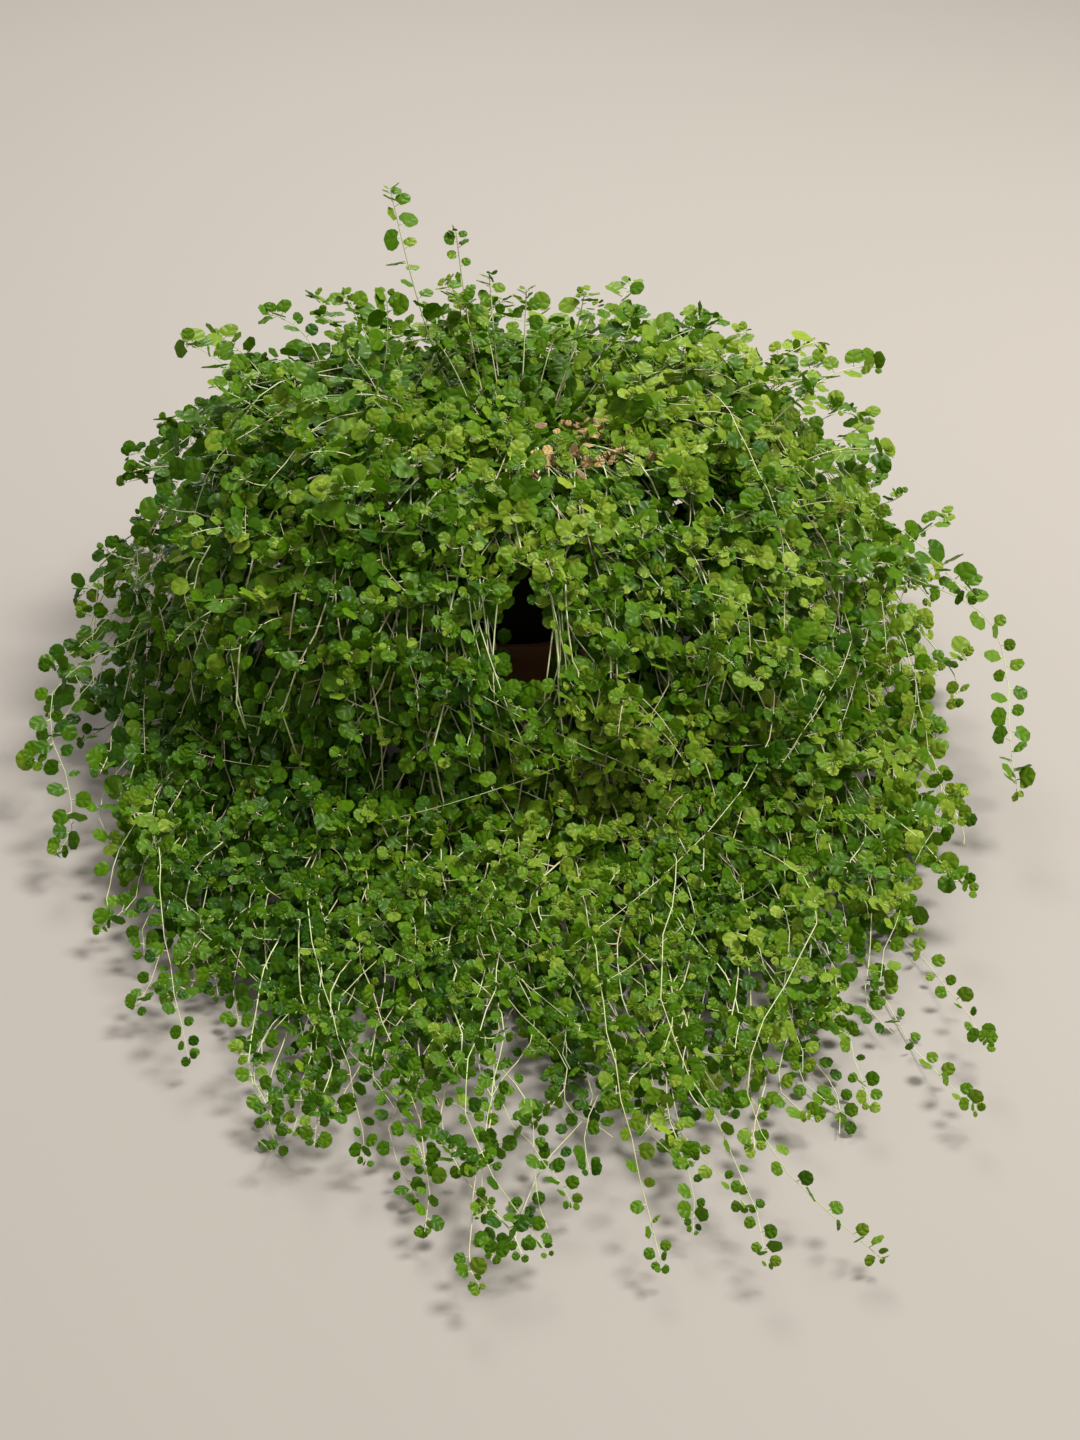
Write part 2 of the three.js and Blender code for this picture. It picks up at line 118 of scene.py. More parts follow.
STATION_STEP = 5
SEEDS = Plan(crown=7, soil=11, litter=23)

# The trailing plant's leaves: largest on top, smaller at the far tips in front
LEAF_SIZE = Plan(on_top=0.16, top_z=(118, 30), far_front=0.42, front_y=(90, 330))
# Leaf tint round a middle value, with painted light: paler on top and towards the right where the light
# falls, deeper on the left in painted shade
TINT = Plan(middle=0.43, on_top=0.17, top_z=(95, 60), rightward=0.14, right_x=(20, 90))
SMALL_BELOW = 4.3
BIG_ABOVE = 8.6
LIGHT_FROM = Vector((0.12, -0.74, 0.66))
LIT_IN_FRONT = (-90, 120)
FLOOR_GAP = 0.15
STEM_FLOOR = 0.9
STEM_TAPER = 0.5

# Leaf shapes, on a leaf 1 long that lies along +Y from its foot. A positive cup is a domed leaf.
Kind = namedtuple("Kind", "sides wide lean notch cup ripple ring")
LEAF_KINDS = {
    "small": (
        Kind(8, 0.96, 0.0, 0.04, 0.16, 0.0, False), Kind(8, 1.04, 0.12, 0.06, 0.12, 0.0, False),
    ),
    "middle": (
        Kind(10, 1.06, 0.0, 0.08, 0.22, 0.03, True), Kind(10, 1.14, 0.20, 0.12, 0.18, 0.04, True),
        Kind(10, 1.08, -0.20, 0.10, 0.20, 0.035, True), Kind(8, 1.00, 0.10, 0.05, 0.12, 0.045, True),
    ),
    "big": (
        Kind(12, 1.20, 0.34, 0.16, 0.09, 0.02, True), Kind(12, 1.14, -0.30, 0.14, 0.07, 0.025, True),
    ),
    "plain": (
        Kind(7, 1.04, 0.0, 0.05, 0.13, 0.0, False), Kind(7, 1.08, 0.16, 0.06, -0.10, 0.0, False),
    ),
}
TINTS = 7
STOCK_NAME = "leaf_stock"
LEAF_HEART = Vector((0, 0.45, 0))
LEAF_WAVE = 0.05
LEAF_RING = Plan(inset=0.17, height=0.72)
BLADE_THICK = 0.13
STALK = Plan(length=0.34, foot=0.042, top=0.032, sides=3, low=-0.02, shown=0.8)

# How leaves stand on a stem: gaps from the tip back, and how far each strays from its place
ROSETTE = Plan(first=0.4, gap=0.9, growth=1.34, long=9, tip_share=0.46, share_step=0.14)
LEAF_LIFT = 0.35
LEAF_STRAY = Plan(full=0.55, other=0.34, flat=0.7)
LEAF_VARY = Plan(twist=0.35, bloom_twist=0.6, forward=(0.05, 0.5), size=(0.75, 1.28), tint=0.13)
YOUNG = Plan(tip=12, tint=0.3, forward=0.7)
LEAF_REACH = Plan(half_wide=0.5, cup=0.1, round_foot=0.6)

# How a bundle is filled: its thin stems, its half width, its side shoots, and its shortest stem
Bundle = namedtuple("Bundle", "strands inner loose band shoot_gap leaf_gap shortest")
BUNDLES = {
    "under": Bundle(4, 3, 0, 20, 30, 10, 0.78),
    "over": Bundle(6, 4, 4, 22, 26, 10, 0.76),
    "arching": Bundle(2, 0, 2, 15, 46, 9, 0.74),
}
BACK_FROM = -40
BACK_SHORTEST = 0.93
STRAND = Plan(
    uneven=0.25, foot=1.1, free=(14, 100), up=2.5, up_wave=90, tip=26, rise=(2, 9), aside=(-9, 9),
    radius=(0.6, 1.1), longest=(0.96, 1.02), tint=0.16, leaves_from=26, bare_end=8, bare_tip=30,
    levels=(-6, 5),
)
# A strand's wander to its side: how far, over what length of stem, and which phase it has
WANDER = ((9.0, 190, 0), (4.5, 104, 1), (1.1, 52, 1))
Shoot = namedtuple("Shoot", "length radius size leaf_gap first tint full margin")
SIDE_SHOOT = Shoot((8, 22), 0.62, (0.8, 1.2), 4.2, 3, 0.15, False, -3)
LOOSE_SHOOT = Shoot((20, 46), 0.7, (0.8, 1.1), 5.4, 6, 0.1, True, 0)
SIDE_FROM = (26, 40)
LOOSE_FROM = (0.12, 0.7)
# A stem below the others, with plain deep green leaves
INNER = Plan(
    share=(0.8, 0.97), wider=1.1, radius=0.8, leaf=1.12, leaves_from=30.0, gap=4.6,
    stray=(0.35, 0.35, 0.25), size=(0.85, 1.15), tint=(0.05, 0.5), levels=(-12, -3),
    forward=(-0.3, 0.6), outward=(-0.4, 0.5),
)
UNEVEN_GAP = (0.7, 1.3)

# The loose stems in front and at the sides, those of the hem, and those that cross their neighbours
WISP_TIPS = (
    (-211, -214, 16), (-215, -116, 50), (-172, -271, 12), (-143, -325, 12), (-119, -355, 12),
    (-54, -412, 10), (16, -458, 12), (54, -462, 10), (80, -464, 12), (129, -456, 8), (171, -388, 14),
    (181, -353, 16), (237, -173, 30), (220, -83, 74), (212, -35, 92), (181, 27, 120), (-162, 41, 120),
    (-207, -170, 30),
)
WISP = Plan(
    leaf=1.1, gap=7.5, radius=0.55, sway=0.13, knee=0.9, bare=6, steps=14, reach=0.45,
    share=(0.5, 0.65), rise=0.2, tint=0.1,
)
FRINGE = Plan(count=44, turn=1.35, reach=(0.9, 1.07), tip_z=(4, 16), share=(0.55, 0.75), rise=-0.05)
CROSSING = Plan(
    count=52, bare=0.28, share=(0.16, 0.5), further=(0.14, 0.34), over=(9, 18), rise=(-0.05, 0.1),
)

# The crown's short shoots, those that stand a little above them, and the few tall ones
CROWN = Plan(
    count=125, leaf=1.2, foot_r=30, tip_r=(50, 66), tip_z=(120, 140), lower_out=6,
    lean=1.7, straight=0.25, steps=12, radius=0.9, leaf_gap=5, first=12, size=(0.8, 1.2), tint=0.1,
)
MIDDLING = Plan(
    count=16, foot=0.3, tips=((-115, 115), (5, 90), (140, 174)),
    lean=1.2, straight=0.6, steps=14, radius=0.85, leaf_gap=7, first=52,
)
TALL = Plan(
    foot=(0.18, 0.2, 0.55), size=(0.7, 1.15), lift=0.2, tint=0.5,
    lean=0.45, straight=1, steps=18, leaf_gap=6.2, first=30,
)

# Where the plant is looser, with the share of leaves left out and the ramp's start and length
LOOSE = {"side": (0.73, 125, 55), "front": (0.42, 300, 120), "top": (0.6, 132, 22)}
MIDDLE_X = -7
# How far its sides and the back of its top are drawn in, with the start and length of each ramp
DRAWN_IN = Plan(side=27, side_x=(110, 60), side_z=(20, 35), back=17, back_y=(10, 60), back_z=(95, 30))

# The view through the leaves in front, to the pot's wall and the saucer's band
CAMERA = Plan(place=Vector((13, -980, 514)), down=29.6, lens=52.5)
PEEP = Plan(x=5, z=40, half_x=24, half_z=34, plane_y=-62, leaf_room=6, share=0.72, clear=1.3)

# Where the leaves stand further apart, on the crown's front shoulder
THIN = Plan(middle=Vector((5, -92, 122)), half=(95, 34, 30), share=0.28)

# Dry leaves, and how far the green ones keep from them
LITTER = Plan(
    count=70, spots=((20, -80, 138), (46, -76, 138), (34, -56, 143)), size=(3, 6), spread=(9, 7),
    flat=0.4, clear=15, share=0.8,
)

# The lamps, in metres, with each one's share of the key light's power
LIT_PLACE = Vector((0, -0.1, 0.05))
LAMPS = (
    Plan(name="key", place=(1.15, -0.05, 2.2), size=0.9, share=1.0),
    Plan(name="back", place=(-0.3, 2.3, 2.3), size=1.4, share=0.75),
)
ROOM_COLOUR = (1.0, 0.97, 0.93, 1.0)
FLOOR = Plan(half=6.0, z=-0.0005)

# The holders, beyond the sizes that the frame gives
POT = Plan(base_r=45, wall=1.8, band_h=12, band_out=2.4, lip_h=3)
DRAIN = Plan(count=6, radius=5, ring_r=30)
SAUCER = Plan(foot_r=51, wall=2.6, floor=3, band_h=6.5, band_out=1.8)
SOIL = Plan(rings=16, steps=80, rough=1.4, crumbs=320)

Station = namedtuple("Station", "place heading side outward run")


def draw(i, k):
    """A repeatable number between 0 and 1 for item i and use k"""
    s = math.sin(i * 12.9898 + k * 78.233) * 43758.5453
    return s - math.floor(s)


def spread(i, k, low, high):
    return low + (high - low) * draw(i, k)


def smooth(x):
    t = min(1.0, max(0.0, x))
    return t * t * (3 - 2 * t)


def ramp(value, start, length):
    """0 up to a start, 1 from a length beyond it, smooth between"""
    return smooth((value - start) / length)


def side_and_outward(tangent, place):
    """Directions at a place on a stem: level to its side, and out of the plant"""
    level = Vector((tangent.x, tangent.y, 0))
    if level.length < 0.05:
        level = Vector((place.x, place.y, 0))
    level.normalize()
    side = level.cross(UP)
    return side, side.cross(tangent).normalized()


def stations(points):
    """Stations at a stem's points, with the length run so far"""
    made = []
    run = 0.0
    for i, place in enumerate(points):
        before = points[max(i - 1, 0)]
        after = points[min(i + 1, len(points) - 1)]
        heading = (after - before).normalized()
        if i:
            run += (place - points[i - 1]).length
        made.append(Station(place, heading, *side_and_outward(heading, place), run))
    return made


def station_at(course, run):
    """The station at a length along a course"""
    if run <= 0:
        return course[0]
    for before, after in zip(course, course[1:]):
        if after.run >= run:
            t = (run - before.run) / max(after.run - before.run, 1e-6)
            return Station(*(a.lerp(b, t) for a, b in zip(before[:4], after[:4])), run)
    return course[-1]


def resting_end(angle, reach):
    """Where a stem that leaves the pot at an angle from the front ends on the surface"""
    turn = math.degrees(angle) / SPREAD.front_turn
    side = abs(turn)
    if side < 1:
        bend = turn * math.pi / 2
        x = SPREAD.side * math.copysign(abs(math.sin(bend)) ** SPREAD.taper, turn)
        y = SPREAD.side_y + (SPREAD.front - SPREAD.side_y) * math.cos(bend) ** SPREAD.front_power
        return Vector((reach * x + SPREAD.skew * math.cos(bend), -reach * y, 0))
    back = ramp(side, 1, 180 / SPREAD.front_turn - 1)
    side_r = math.hypot(SPREAD.side, SPREAD.side_y)
    radius = reach * (side_r + (SPREAD.back - side_r) * math.sqrt(back))
    return Vector((radius * math.sin(angle), -radius * math.cos(angle), 0))


def bend_points(start, control, end, steps=200):
    """A quadratic bend in plan as points with the length run so far"""
    made = []
    run = 0.0
    for i in range(steps + 1):
        t = i / steps
        point = start * (1 - t) ** 2 + control * 2 * t * (1 - t) + end * t * t
        if made:
            run += (point - made[-1][0]).length
        made.append((point, run))
    return made


def bend_at(bend, run):
    """Point and direction at a length along a bend"""
    for (before, r0), (after, r1) in zip(bend, bend[1:]):
        if r1 >= run:
            return before.lerp(after, (run - r0) / (r1 - r0)), (after - before).normalized()
    return bend[-1][0], (bend[-1][0] - bend[-2][0]).normalized()


def foot_points(out, root):
    """A stem's foot in its hole, and where it leaves the soil"""
    foot = out * root
    return [
        Vector((foot.x, foot.y, SOIL_TOP - FOOT_DEPTH)),
        Vector((foot.x, foot.y, SOIL_TOP + 1)),
        Vector((foot.x, foot.y, SOIL_TOP + 8)),
    ]


def layer_course(layer, angle, seed):
    """Straight out over the rim, then down and on a bend to the resting end"""
    out = Vector((math.sin(angle), -math.cos(angle), 0))
    end = resting_end(angle, layer.reach * spread(seed, 1, SPREAD.least, SPREAD.most))
    control = (out * layer.land * BEND.past).lerp(end, BEND.to_end)
    bend = bend_points(out * layer.shoulder, control, end)
    straight = layer.shoulder - layer.root
    total = straight + bend[-1][1]
    fall_end = min(layer.land - layer.root, total - 4)
    fall_start = RIM_CLEAR_R - layer.root
    crest = layer.crest + spread(seed, 2, -CREST_VARY, CREST_VARY)
    sway = spread(seed, 3, *SWAY.size) * (-1 if draw(seed, 4) < 0.5 else 1)
    curl = spread(seed, 6, *CURL.size) if draw(seed, 5) < CURL.share else 0
    phase = draw(seed, 7)
    points = foot_points(out, layer.root)
    low = SOIL_TOP + RISE.z
    length = total - RISE.start
    count = round(length / STATION_STEP)
    for k in range(count + 1):
        h = RISE.start + length * k / count
        if h > straight:
            plan, ahead = bend_at(bend, h - straight)
        else:
            plan, ahead = out * (layer.root + h), out
        plan = plan + ahead.cross(UP) * sway * ramp(h, straight, SWAY.grow) * math.sin(
            FULL_TURN * (h / SWAY.wave + phase))
        fall = min(1.0, max(0.0, (h - fall_start) / (fall_end - fall_start)))
        arc = (1 - fall ** DOME.power) ** (1 / DOME.power)
        stay = DOME.round * arc + (1 - DOME.round) * (1 - smooth(fall))
        fade = 1 - TRAIL.fade * ramp(h, fall_end, total - fall_end + 1)
        flat = layer.trail * fade + TRAIL.lift
        high = low + (crest - low) * smooth(h / RISE.run)
        tip = curl * smooth((h - total + CURL.run) / CURL.run)
        points.append(Vector((plan.x, plan.y, flat + (high - flat) * stay + tip)))
    return stations(points)


def arching_course(end, seed):
    """Out over the others, to a tip that ends in the air"""
    tip = Vector(end)
    out = Vector((tip.x, tip.y, 0)).normalized()
    reach = math.hypot(tip.x, tip.y) - ARCHING.root
    side = out.cross(UP)
    points = foot_points(out, ARCHING.root)
    low = SOIL_TOP + ARCHING.rise_z
    count = round(reach / STATION_STEP)
    for k in range(count + 1):
        f = k / count
        h = RISE.start + (reach - RISE.start) * f
        plan = out * (ARCHING.root + h) + side * ARCHING.sway * f * math.sin(6 * f + seed)
        high = low + (ARCHING.crest - low) * smooth(h / ARCHING.rise_run)
        fall = max(0.0, f - ARCHING.level) / (1 - ARCHING.level)
        droop = (tip.z - ARCHING.crest) * fall ** ARCHING.droop
        points.append(Vector((plan.x, plan.y, high + droop)))
    return stations(points)


def layer_angles(layer):
    """Angles of a layer's stems from the front, closer together there than at the back"""
    for j in range(layer.count):
        t = (j + 0.5) / layer.count * 2 - 1
        yield math.pi * (t * (1 - layer.front_bias) + layer.front_bias * t ** 3)


def vine_courses():
    """Node name, course, seed and kind of every leafy vine"""
    made = []
    for layer in LAYERS:
        for angle in layer_angles(layer):
            seed = len(made) + 1
            made.append((f"vine_{seed:02d}", layer_course(layer, angle, seed), seed, layer.kind))
    for end in ARCHING_ENDS:
        seed = len(made) + 1
        made.append((f"vine_{seed:02d}", arching_course(end, seed), seed, "arching"))
    return made


def shoot_course(foot, tip, plan):
    """An upright shoot that leans out as it rises"""
    straight = plan.straight
    points = []
    for k in range(plan.steps + 1):
        f = k / plan.steps
        there = foot.lerp(tip, f ** plan.lean)
        rise = straight * f + (1 - straight) * math.sin(f * math.pi / 2)
        points.append(Vector((there.x, there.y, foot.z + (tip.z - foot.z) * rise)))
    return stations(points)


def linked(name, data):
    """An object of some data, in the scene"""
    made = bpy.data.objects.new(name, data)
    bpy.context.scene.collection.objects.link(made)
    return made


def finished(name, bm, surfaces, colours, nodes):
    """Makes the object of a piece that is shaped in millimetres, and ties it to the frame"""
    bm.transform(Matrix.Scale(MM, 4))
    mesh = bpy.data.meshes.new(name)
    bm.to_mesh(mesh)
    bm.free()
    for surface in surfaces:
        mesh.materials.append(look(surface, colours))
    piece = linked(name, mesh)
    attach(piece, "root")
    if nodes:
        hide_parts(*nodes)


def add(tree, kind, inputs, **settings):
    """A node with its settings, and its inputs set, or linked where they come as sockets"""
    node = tree.nodes.new(kind)
    for key, value in settings.items():
        setattr(node, key, value)
    for key, value in inputs.items():
        if isinstance(value, bpy.types.NodeSocket):
            tree.links.new(value, node.inputs[key])
        else:
            node.inputs[key].default_value = value
    return node


def maths(tree, operation, a, b=0.0):
    return add(tree, "ShaderNodeMath", {0: a, 1: b}, operation=operation).outputs[0]


def mixed(tree, factor, a, b, amount=1.0):
    """A mix of two colours, each a socket or one of the settings, by an amount of a factor"""
    factor = maths(tree, "MULTIPLY", factor, amount)
    a, b = (c if isinstance(c, bpy.types.NodeSocket) else (*c, 1.0) for c in (a, b))
    return add(tree, "ShaderNodeMix", {"Factor": factor, 6: a, 7: b}, data_type="RGBA").outputs[2]


def in_range(tree, value, low, high, to_low=0.0, to_high=1.0):
    node = add(tree, "ShaderNodeMapRange", {
        "Value": value, "From Min": low, "From Max": high, "To Min": to_low, "To Max": to_high})
    return node.outputs["Result"]


def grain(tree, scale, detail, roughness=0.5):
    """Noise on the object's own coordinates"""
    place = add(tree, "ShaderNodeTexCoord", {}).outputs["Object"]
    node = add(tree, "ShaderNodeTexNoise", {
        "Vector": place, "Scale": scale, "Detail": detail, "Roughness": roughness})
    return node.outputs["Fac"]


def bumped(tree, height, strength, distance):
    """A normal that is bumped by a height, over a distance in metres"""
    bump = add(tree, "ShaderNodeBump", {"Height": height, "Strength": strength, "Distance": distance})
    return bump.outputs["Normal"]


def principled(tree, colour, rough, bump, **more):
    """A surface of a colour, with the range of its roughness and its bumps"""
    return add(tree, "ShaderNodeBsdfPrincipled", {
        "Base Color": colour, "Roughness": in_range(tree, *rough), "Normal": bumped(tree, *bump),
        **more,
    }).outputs[0]


def group(name, inputs, outputs):
    """An empty shader node group with named sockets, and its inside's input and output sockets"""
    tree = bpy.data.node_groups.new(name, "ShaderNodeTree")
    for label, kind, default in inputs:
        socket = tree.interface.new_socket(label, in_out="INPUT", socket_type=kind)
        if default is not None:
            socket.default_value = default
    for label, kind in outputs:
        tree.interface.new_socket(label, in_out="OUTPUT", socket_type=kind)
    inside = tree.nodes.new("NodeGroupInput")
    outside = tree.nodes.new("NodeGroupOutput")
    return tree, inside.outputs, outside.inputs


def leaf_relief_group(name):
    """Veins of a leaf and the puckers between them, from its own map"""
    tree, given, result = group(
        name,
        [("Map", "NodeSocketVector", None), ("Side veins", "NodeSocketFloat", 2.3)],
        [("Vein", "NodeSocketFloat"), ("Height", "NodeSocketFloat")],
    )
    parts = add(tree, "ShaderNodeSeparateXYZ", {0: given["Map"]}).outputs
    across = maths(tree, "ABSOLUTE", maths(tree, "SUBTRACT", parts["X"], 0.5))
    slanted = maths(tree, "SUBTRACT", parts["Y"], maths(tree, "MULTIPLY", across, 0.6))
    wave = maths(tree, "PINGPONG", maths(tree, "MULTIPLY", slanted, given["Side veins"]), 0.5)
    side_vein = in_range(tree, wave, 0.0, 0.13, 1.0, 0.0)
    middle_vein = in_range(tree, across, 0.0, 0.035, 1.0, 0.0)
    vein = maths(tree, "MAXIMUM", side_vein, middle_vein)
    tree.links.new(vein, result["Vein"])
    puffs = add(
        tree, "ShaderNodeMapRange", {"Value": wave, "From Min": -0.08, "From Max": 0.45},
        interpolation_type="SMOOTHSTEP").outputs["Result"]
    valley = in_range(tree, across, 0.0, 0.14, 0.25, 1.0)
    tree.links.new(maths(tree, "MULTIPLY", puffs, valley), result["Height"])
    return tree


def patches_group(name):
    """Slow change of shade over a plant or a holder"""
    tree, given, result = group(
        name,
        [("Scale", "NodeSocketFloat", 20.0), ("Low", "NodeSocketFloat", 0.35),
         ("High", "NodeSocketFloat", 0.65)],
        [("Mask", "NodeSocketFloat")],
    )
    spots = grain(tree, given["Scale"], 2.0)
    tree.links.new(in_range(tree, spots, given["Low"], given["High"]), result["Mask"])
    return tree


def placed_group(tree, maker, **inputs):
    """Outputs of a shared group, which its maker makes once"""
    name = maker.__name__
    shared = bpy.data.node_groups.get(name) or maker(name)
    return add(tree, "ShaderNodeGroup", inputs, node_tree=shared).outputs


def patches(tree, scale, low=0.35, high=0.65):
    """A mask of soft patches of a scale"""
    return placed_group(tree, patches_group, Scale=scale, Low=low, High=high)["Mask"]


def leaf_relief(tree):
    """The shared relief on a leaf's own map"""
    own_map = add(tree, "ShaderNodeUVMap", {}, uv_map="leaf_map").outputs["UV"]
    return placed_group(tree, leaf_relief_group, Map=own_map)


def vine_leaf(tree, colours):
    """Fleshy green leaf: puckers, furrows darkened towards the vein colour as painted shade, a tint of
    its own that carries painted light, and light through it
    """
    relief = leaf_relief(tree)
    height = relief["Height"]
    tint = add(tree, "ShaderNodeAttribute", {}, attribute_name="tint").outputs["Fac"]
    uneven = maths(tree, "MULTIPLY", maths(tree, "SUBTRACT", patches(tree, 14.0), 0.5), 0.3)
    shade = maths(tree, "ADD", tint, uneven)
    deep = mixed(tree, in_range(tree, shade, 0.0, 0.5), colours.leaf_dark, colours.leaf_mid)
    full = mixed(tree, in_range(tree, shade, 0.5, 1.0), deep, colours.leaf_light)
    # Painted shade over the vein colour: the leaf is darkened where its relief is low, along the
    # furrows between the puffs
    furrow = maths(tree, "SUBTRACT", 1.0, height)
    veined_and_shaded = mixed(tree, furrow, full, colours.leaf_vein, 0.18)
    bump = (height, 0.5, 0.0006)
    body = principled(tree, veined_and_shaded, (height, 0.0, 1.0, 0.46, 0.3), bump, **{"Specular IOR Level": 0.15})
    glow = mixed(tree, 0.55, veined_and_shaded, colours.leaf_glow)
    through = add(tree, "ShaderNodeBsdfTranslucent", {"Color": glow, "Normal": bumped(tree, *bump)})
    return add(tree, "ShaderNodeMixShader", {0: 0.34, 1: body, 2: through.outputs[0]}).outputs[0]


def vine_stem(tree, colours):
    """Pale fleshy stem, from greenish white to pinkish tan along its length"""
    fine = patches(tree, 120.0)
    slow = mixed(tree, patches(tree, 26.0, 0.38, 0.62), colours.stem_green, colours.stem_tan)
    colour = mixed(tree, fine, slow, colours.stem_pale, 0.35)
    return principled(tree, colour, (fine, 0.0, 1.0, 0.38, 0.5), (fine, 0.3, 0.0002))


def vine_litter(tree, colours):
    """Dry brown leaf and stem litter"""
    relief = leaf_relief(tree)
    patch = patches(tree, 90.0)
    base = mixed(tree, patch, colours.dry_dark, colours.dry_light)
    colour = mixed(tree, relief["Vein"], base, colours.dry_dark, 0.4)
    return principled(tree, colour, (patch, 0.0, 1.0, 0.7, 0.85), (relief["Height"], 0.8, 0.0006))


def pot_plastic(tree, colours):
    """Black moulded plastic with a soft sheen, dusty and scuffed in places"""
    dust = patches(tree, 34.0, 0.45, 0.75)
    colour = mixed(tree, dust, colours.pot_colour, colours.pot_dust, 0.35)
    bump = (grain(tree, 2400.0, 2.0), 0.12, 0.0002)
    return principled(tree, colour, (dust, 0.0, 1.0, 0.38, 0.62), bump)


def clay(tree, colours):
    """Matte terracotta with darker damp patches, fine grit and pale lime bloom"""
    damp = patches(tree, 24.0, 0.4, 0.7)
    bloom = patches(tree, 130.0, 0.55, 0.8)
    grit = grain(tree, 1500.0, 4.0, 0.65)
    wet = mixed(tree, damp, colours.clay_colour, colours.clay_damp, 0.5)
    colour = mixed(tree, bloom, wet, colours.clay_bloom, 0.22)
    return principled(tree, colour, (grit, 0.3, 0.7, 0.68, 0.86), (grit, 0.25, 0.0003))


def potting_soil(tree, colours):
    """Dark damp potting soil with lighter fibres"""
    crumbs = grain(tree, 420.0, 5.0, 0.7)
    fibres = patches(tree, 300.0, 0.6, 0.72)
    dark = mixed(tree, crumbs, colours.soil_dark, colours.soil_light)
    colour = mixed(tree, fibres, dark, colours.soil_fibre, 0.5)
    return principled(tree, colour, (crumbs, 0.3, 0.7, 0.75, 0.95), (crumbs, 0.8, 0.001))


def plain_floor(tree, colours):
    """Matte surface of one colour"""
    colour = (*colours.floor_colour, 1.0)
    return add(tree, "ShaderNodeBsdfPrincipled", {"Base Color": colour, "Roughness": 0.75}).outputs[0]


def look(surface, colours):
    """The material that a surface function fills with nodes, made once and named after it"""
    name = surface.__name__
    material = bpy.data.materials.get(name)
    if material is None:
        material = bpy.data.materials.new(name)
        material.use_nodes = True
        tree = material.node_tree
        tree.nodes.clear()
        add(tree, "ShaderNodeOutputMaterial", {"Surface": surface(tree, colours)})
    return material


def shape_outline(bm, kind):
    """Bends a circle into a rounded, slightly lopsided outline with a notch at its foot"""
    for vert in bm.verts:
        angle = math.atan2(vert.co.x, -vert.co.y)
        shoulder = math.exp(-((abs(angle) - 0.8) / 0.45) ** 2)
        y = 0.5 - 0.5 * math.cos(angle) - kind.notch * shoulder
        if abs(angle) < 0.1:
            y = kind.notch * 0.5
        x = 0.5 * kind.wide * math.sin(angle)
        vert.co = (
            x + kind.lean * y * (1 - y),
            y * (1 + 0.4 * kind.lean * x),
            LEAF_WAVE * math.cos(2 * angle + kind.lean * 8),
        )


def leaf_mesh(kind, tint):
    """A leaf 1 long: a puckered upper side and a lower side that meet at a rim, and a stalk"""
    bm = bmesh.new()
    own_map = bm.loops.layers.uv.new("leaf_map")
    shade = bm.verts.layers.float.new("tint")
    bmesh.ops.create_circle(bm, cap_ends=True, segments=kind.sides, radius=0.5)
    shape_outline(bm, kind)
    rim = bm.edges[:]
    upper = bm.faces[:]
    if kind.ring:
        bmesh.ops.inset_region(bm, faces=upper, thickness=LEAF_RING.inset, use_even_offset=False)
        for i, vert in enumerate(upper[0].verts):
            vert.co.z = LEAF_RING.height * kind.cup + kind.ripple * (1 if i % 2 else -1)
    heart = bmesh.ops.poke(bm, faces=upper)["verts"][0]
    heart.co = LEAF_HEART + UP * kind.cup
    lower = bmesh.ops.edgeloop_fill(bm, edges=rim)["faces"]
    if kind.ring:
        belly = bmesh.ops.poke(bm, faces=lower)["verts"][0]
        belly.co = LEAF_HEART + UP * (kind.cup - BLADE_THICK)
        stalk_place = Matrix.Translation((0, kind.notch - STALK.length / 2, STALK.low))
        made = bmesh.ops.create_cone(
            bm, cap_ends=True, segments=STALK.sides, radius1=STALK.foot, radius2=STALK.top,
            depth=STALK.length, matrix=stalk_place @ Matrix.Rotation(-math.pi / 2, 4, "X"))
        for face in {f for vert in made["verts"] for f in vert.link_faces}:
            face.material_index = 1
    bmesh.ops.recalc_face_normals(bm, faces=bm.faces)
    for face in bm.faces:
        face.smooth = True
        for loop in face.loops:
            loop[own_map].uv = (loop.vert.co.x / kind.wide + 0.5, loop.vert.co.y)
    for edge in rim:
        edge.smooth = False
    for vert in bm.verts:
        vert[shade] = tint
    mesh = bpy.data.meshes.new(STOCK_NAME)
    bm.to_mesh(mesh)
    bm.free()
    return mesh


@cache
def leaf_stock(kind, shade):
    """The mesh of a leaf of a kind and a step of tint, made when it is first needed"""
    return leaf_mesh(kind, shade / (TINTS - 1))


def pick_leaf(size, tint, plain, rng):
    """One of the leaves that suit a size, in the nearest tint"""
    label = "small" if size < SMALL_BELOW else "big" if size > BIG_ABOVE else "middle"
    kind = rng.choice(LEAF_KINDS["plain" if plain else label])
    return leaf_stock(kind, min(TINTS - 1, max(0, round(tint * (TINTS - 1)))))


def clear_stock():
    """Removes the leaves that were only there to be copied"""
    leaf_stock.cache_clear()
    for mesh in [mesh for mesh in bpy.data.meshes if mesh.name.startswith(STOCK_NAME)]:
        bpy.data.meshes.remove(mesh)


def scatter(rng, *widths):
    return Vector([rng.gauss(0, width) for width in widths])


def lit_side(place):
    """Where leaves at a place turn to: to the front's light, or straight up behind the pot"""
    front = ramp(-place.y, *LIT_IN_FRONT)
    return LIGHT_FROM * front + UP * (1 - front)


def in_peep(place):
    """Where a place is seen in the gap in front of the pot, sideways and up, 1 at the gap's edge"""
    eye = CAMERA.place
    t = (PEEP.plane_y - eye.y) / (place.y - eye.y)
    x = eye.x + (place.x - eye.x) * t - PEEP.x
    z = eye.z + (place.z - eye.z) * t - PEEP.z
    return x / PEEP.half_x, z / PEEP.half_z


def before_pot(place):
    """Whether a place is in front of the pot's wall, with room for a leaf"""
    return place.y < PEEP.plane_y - PEEP.leaf_room


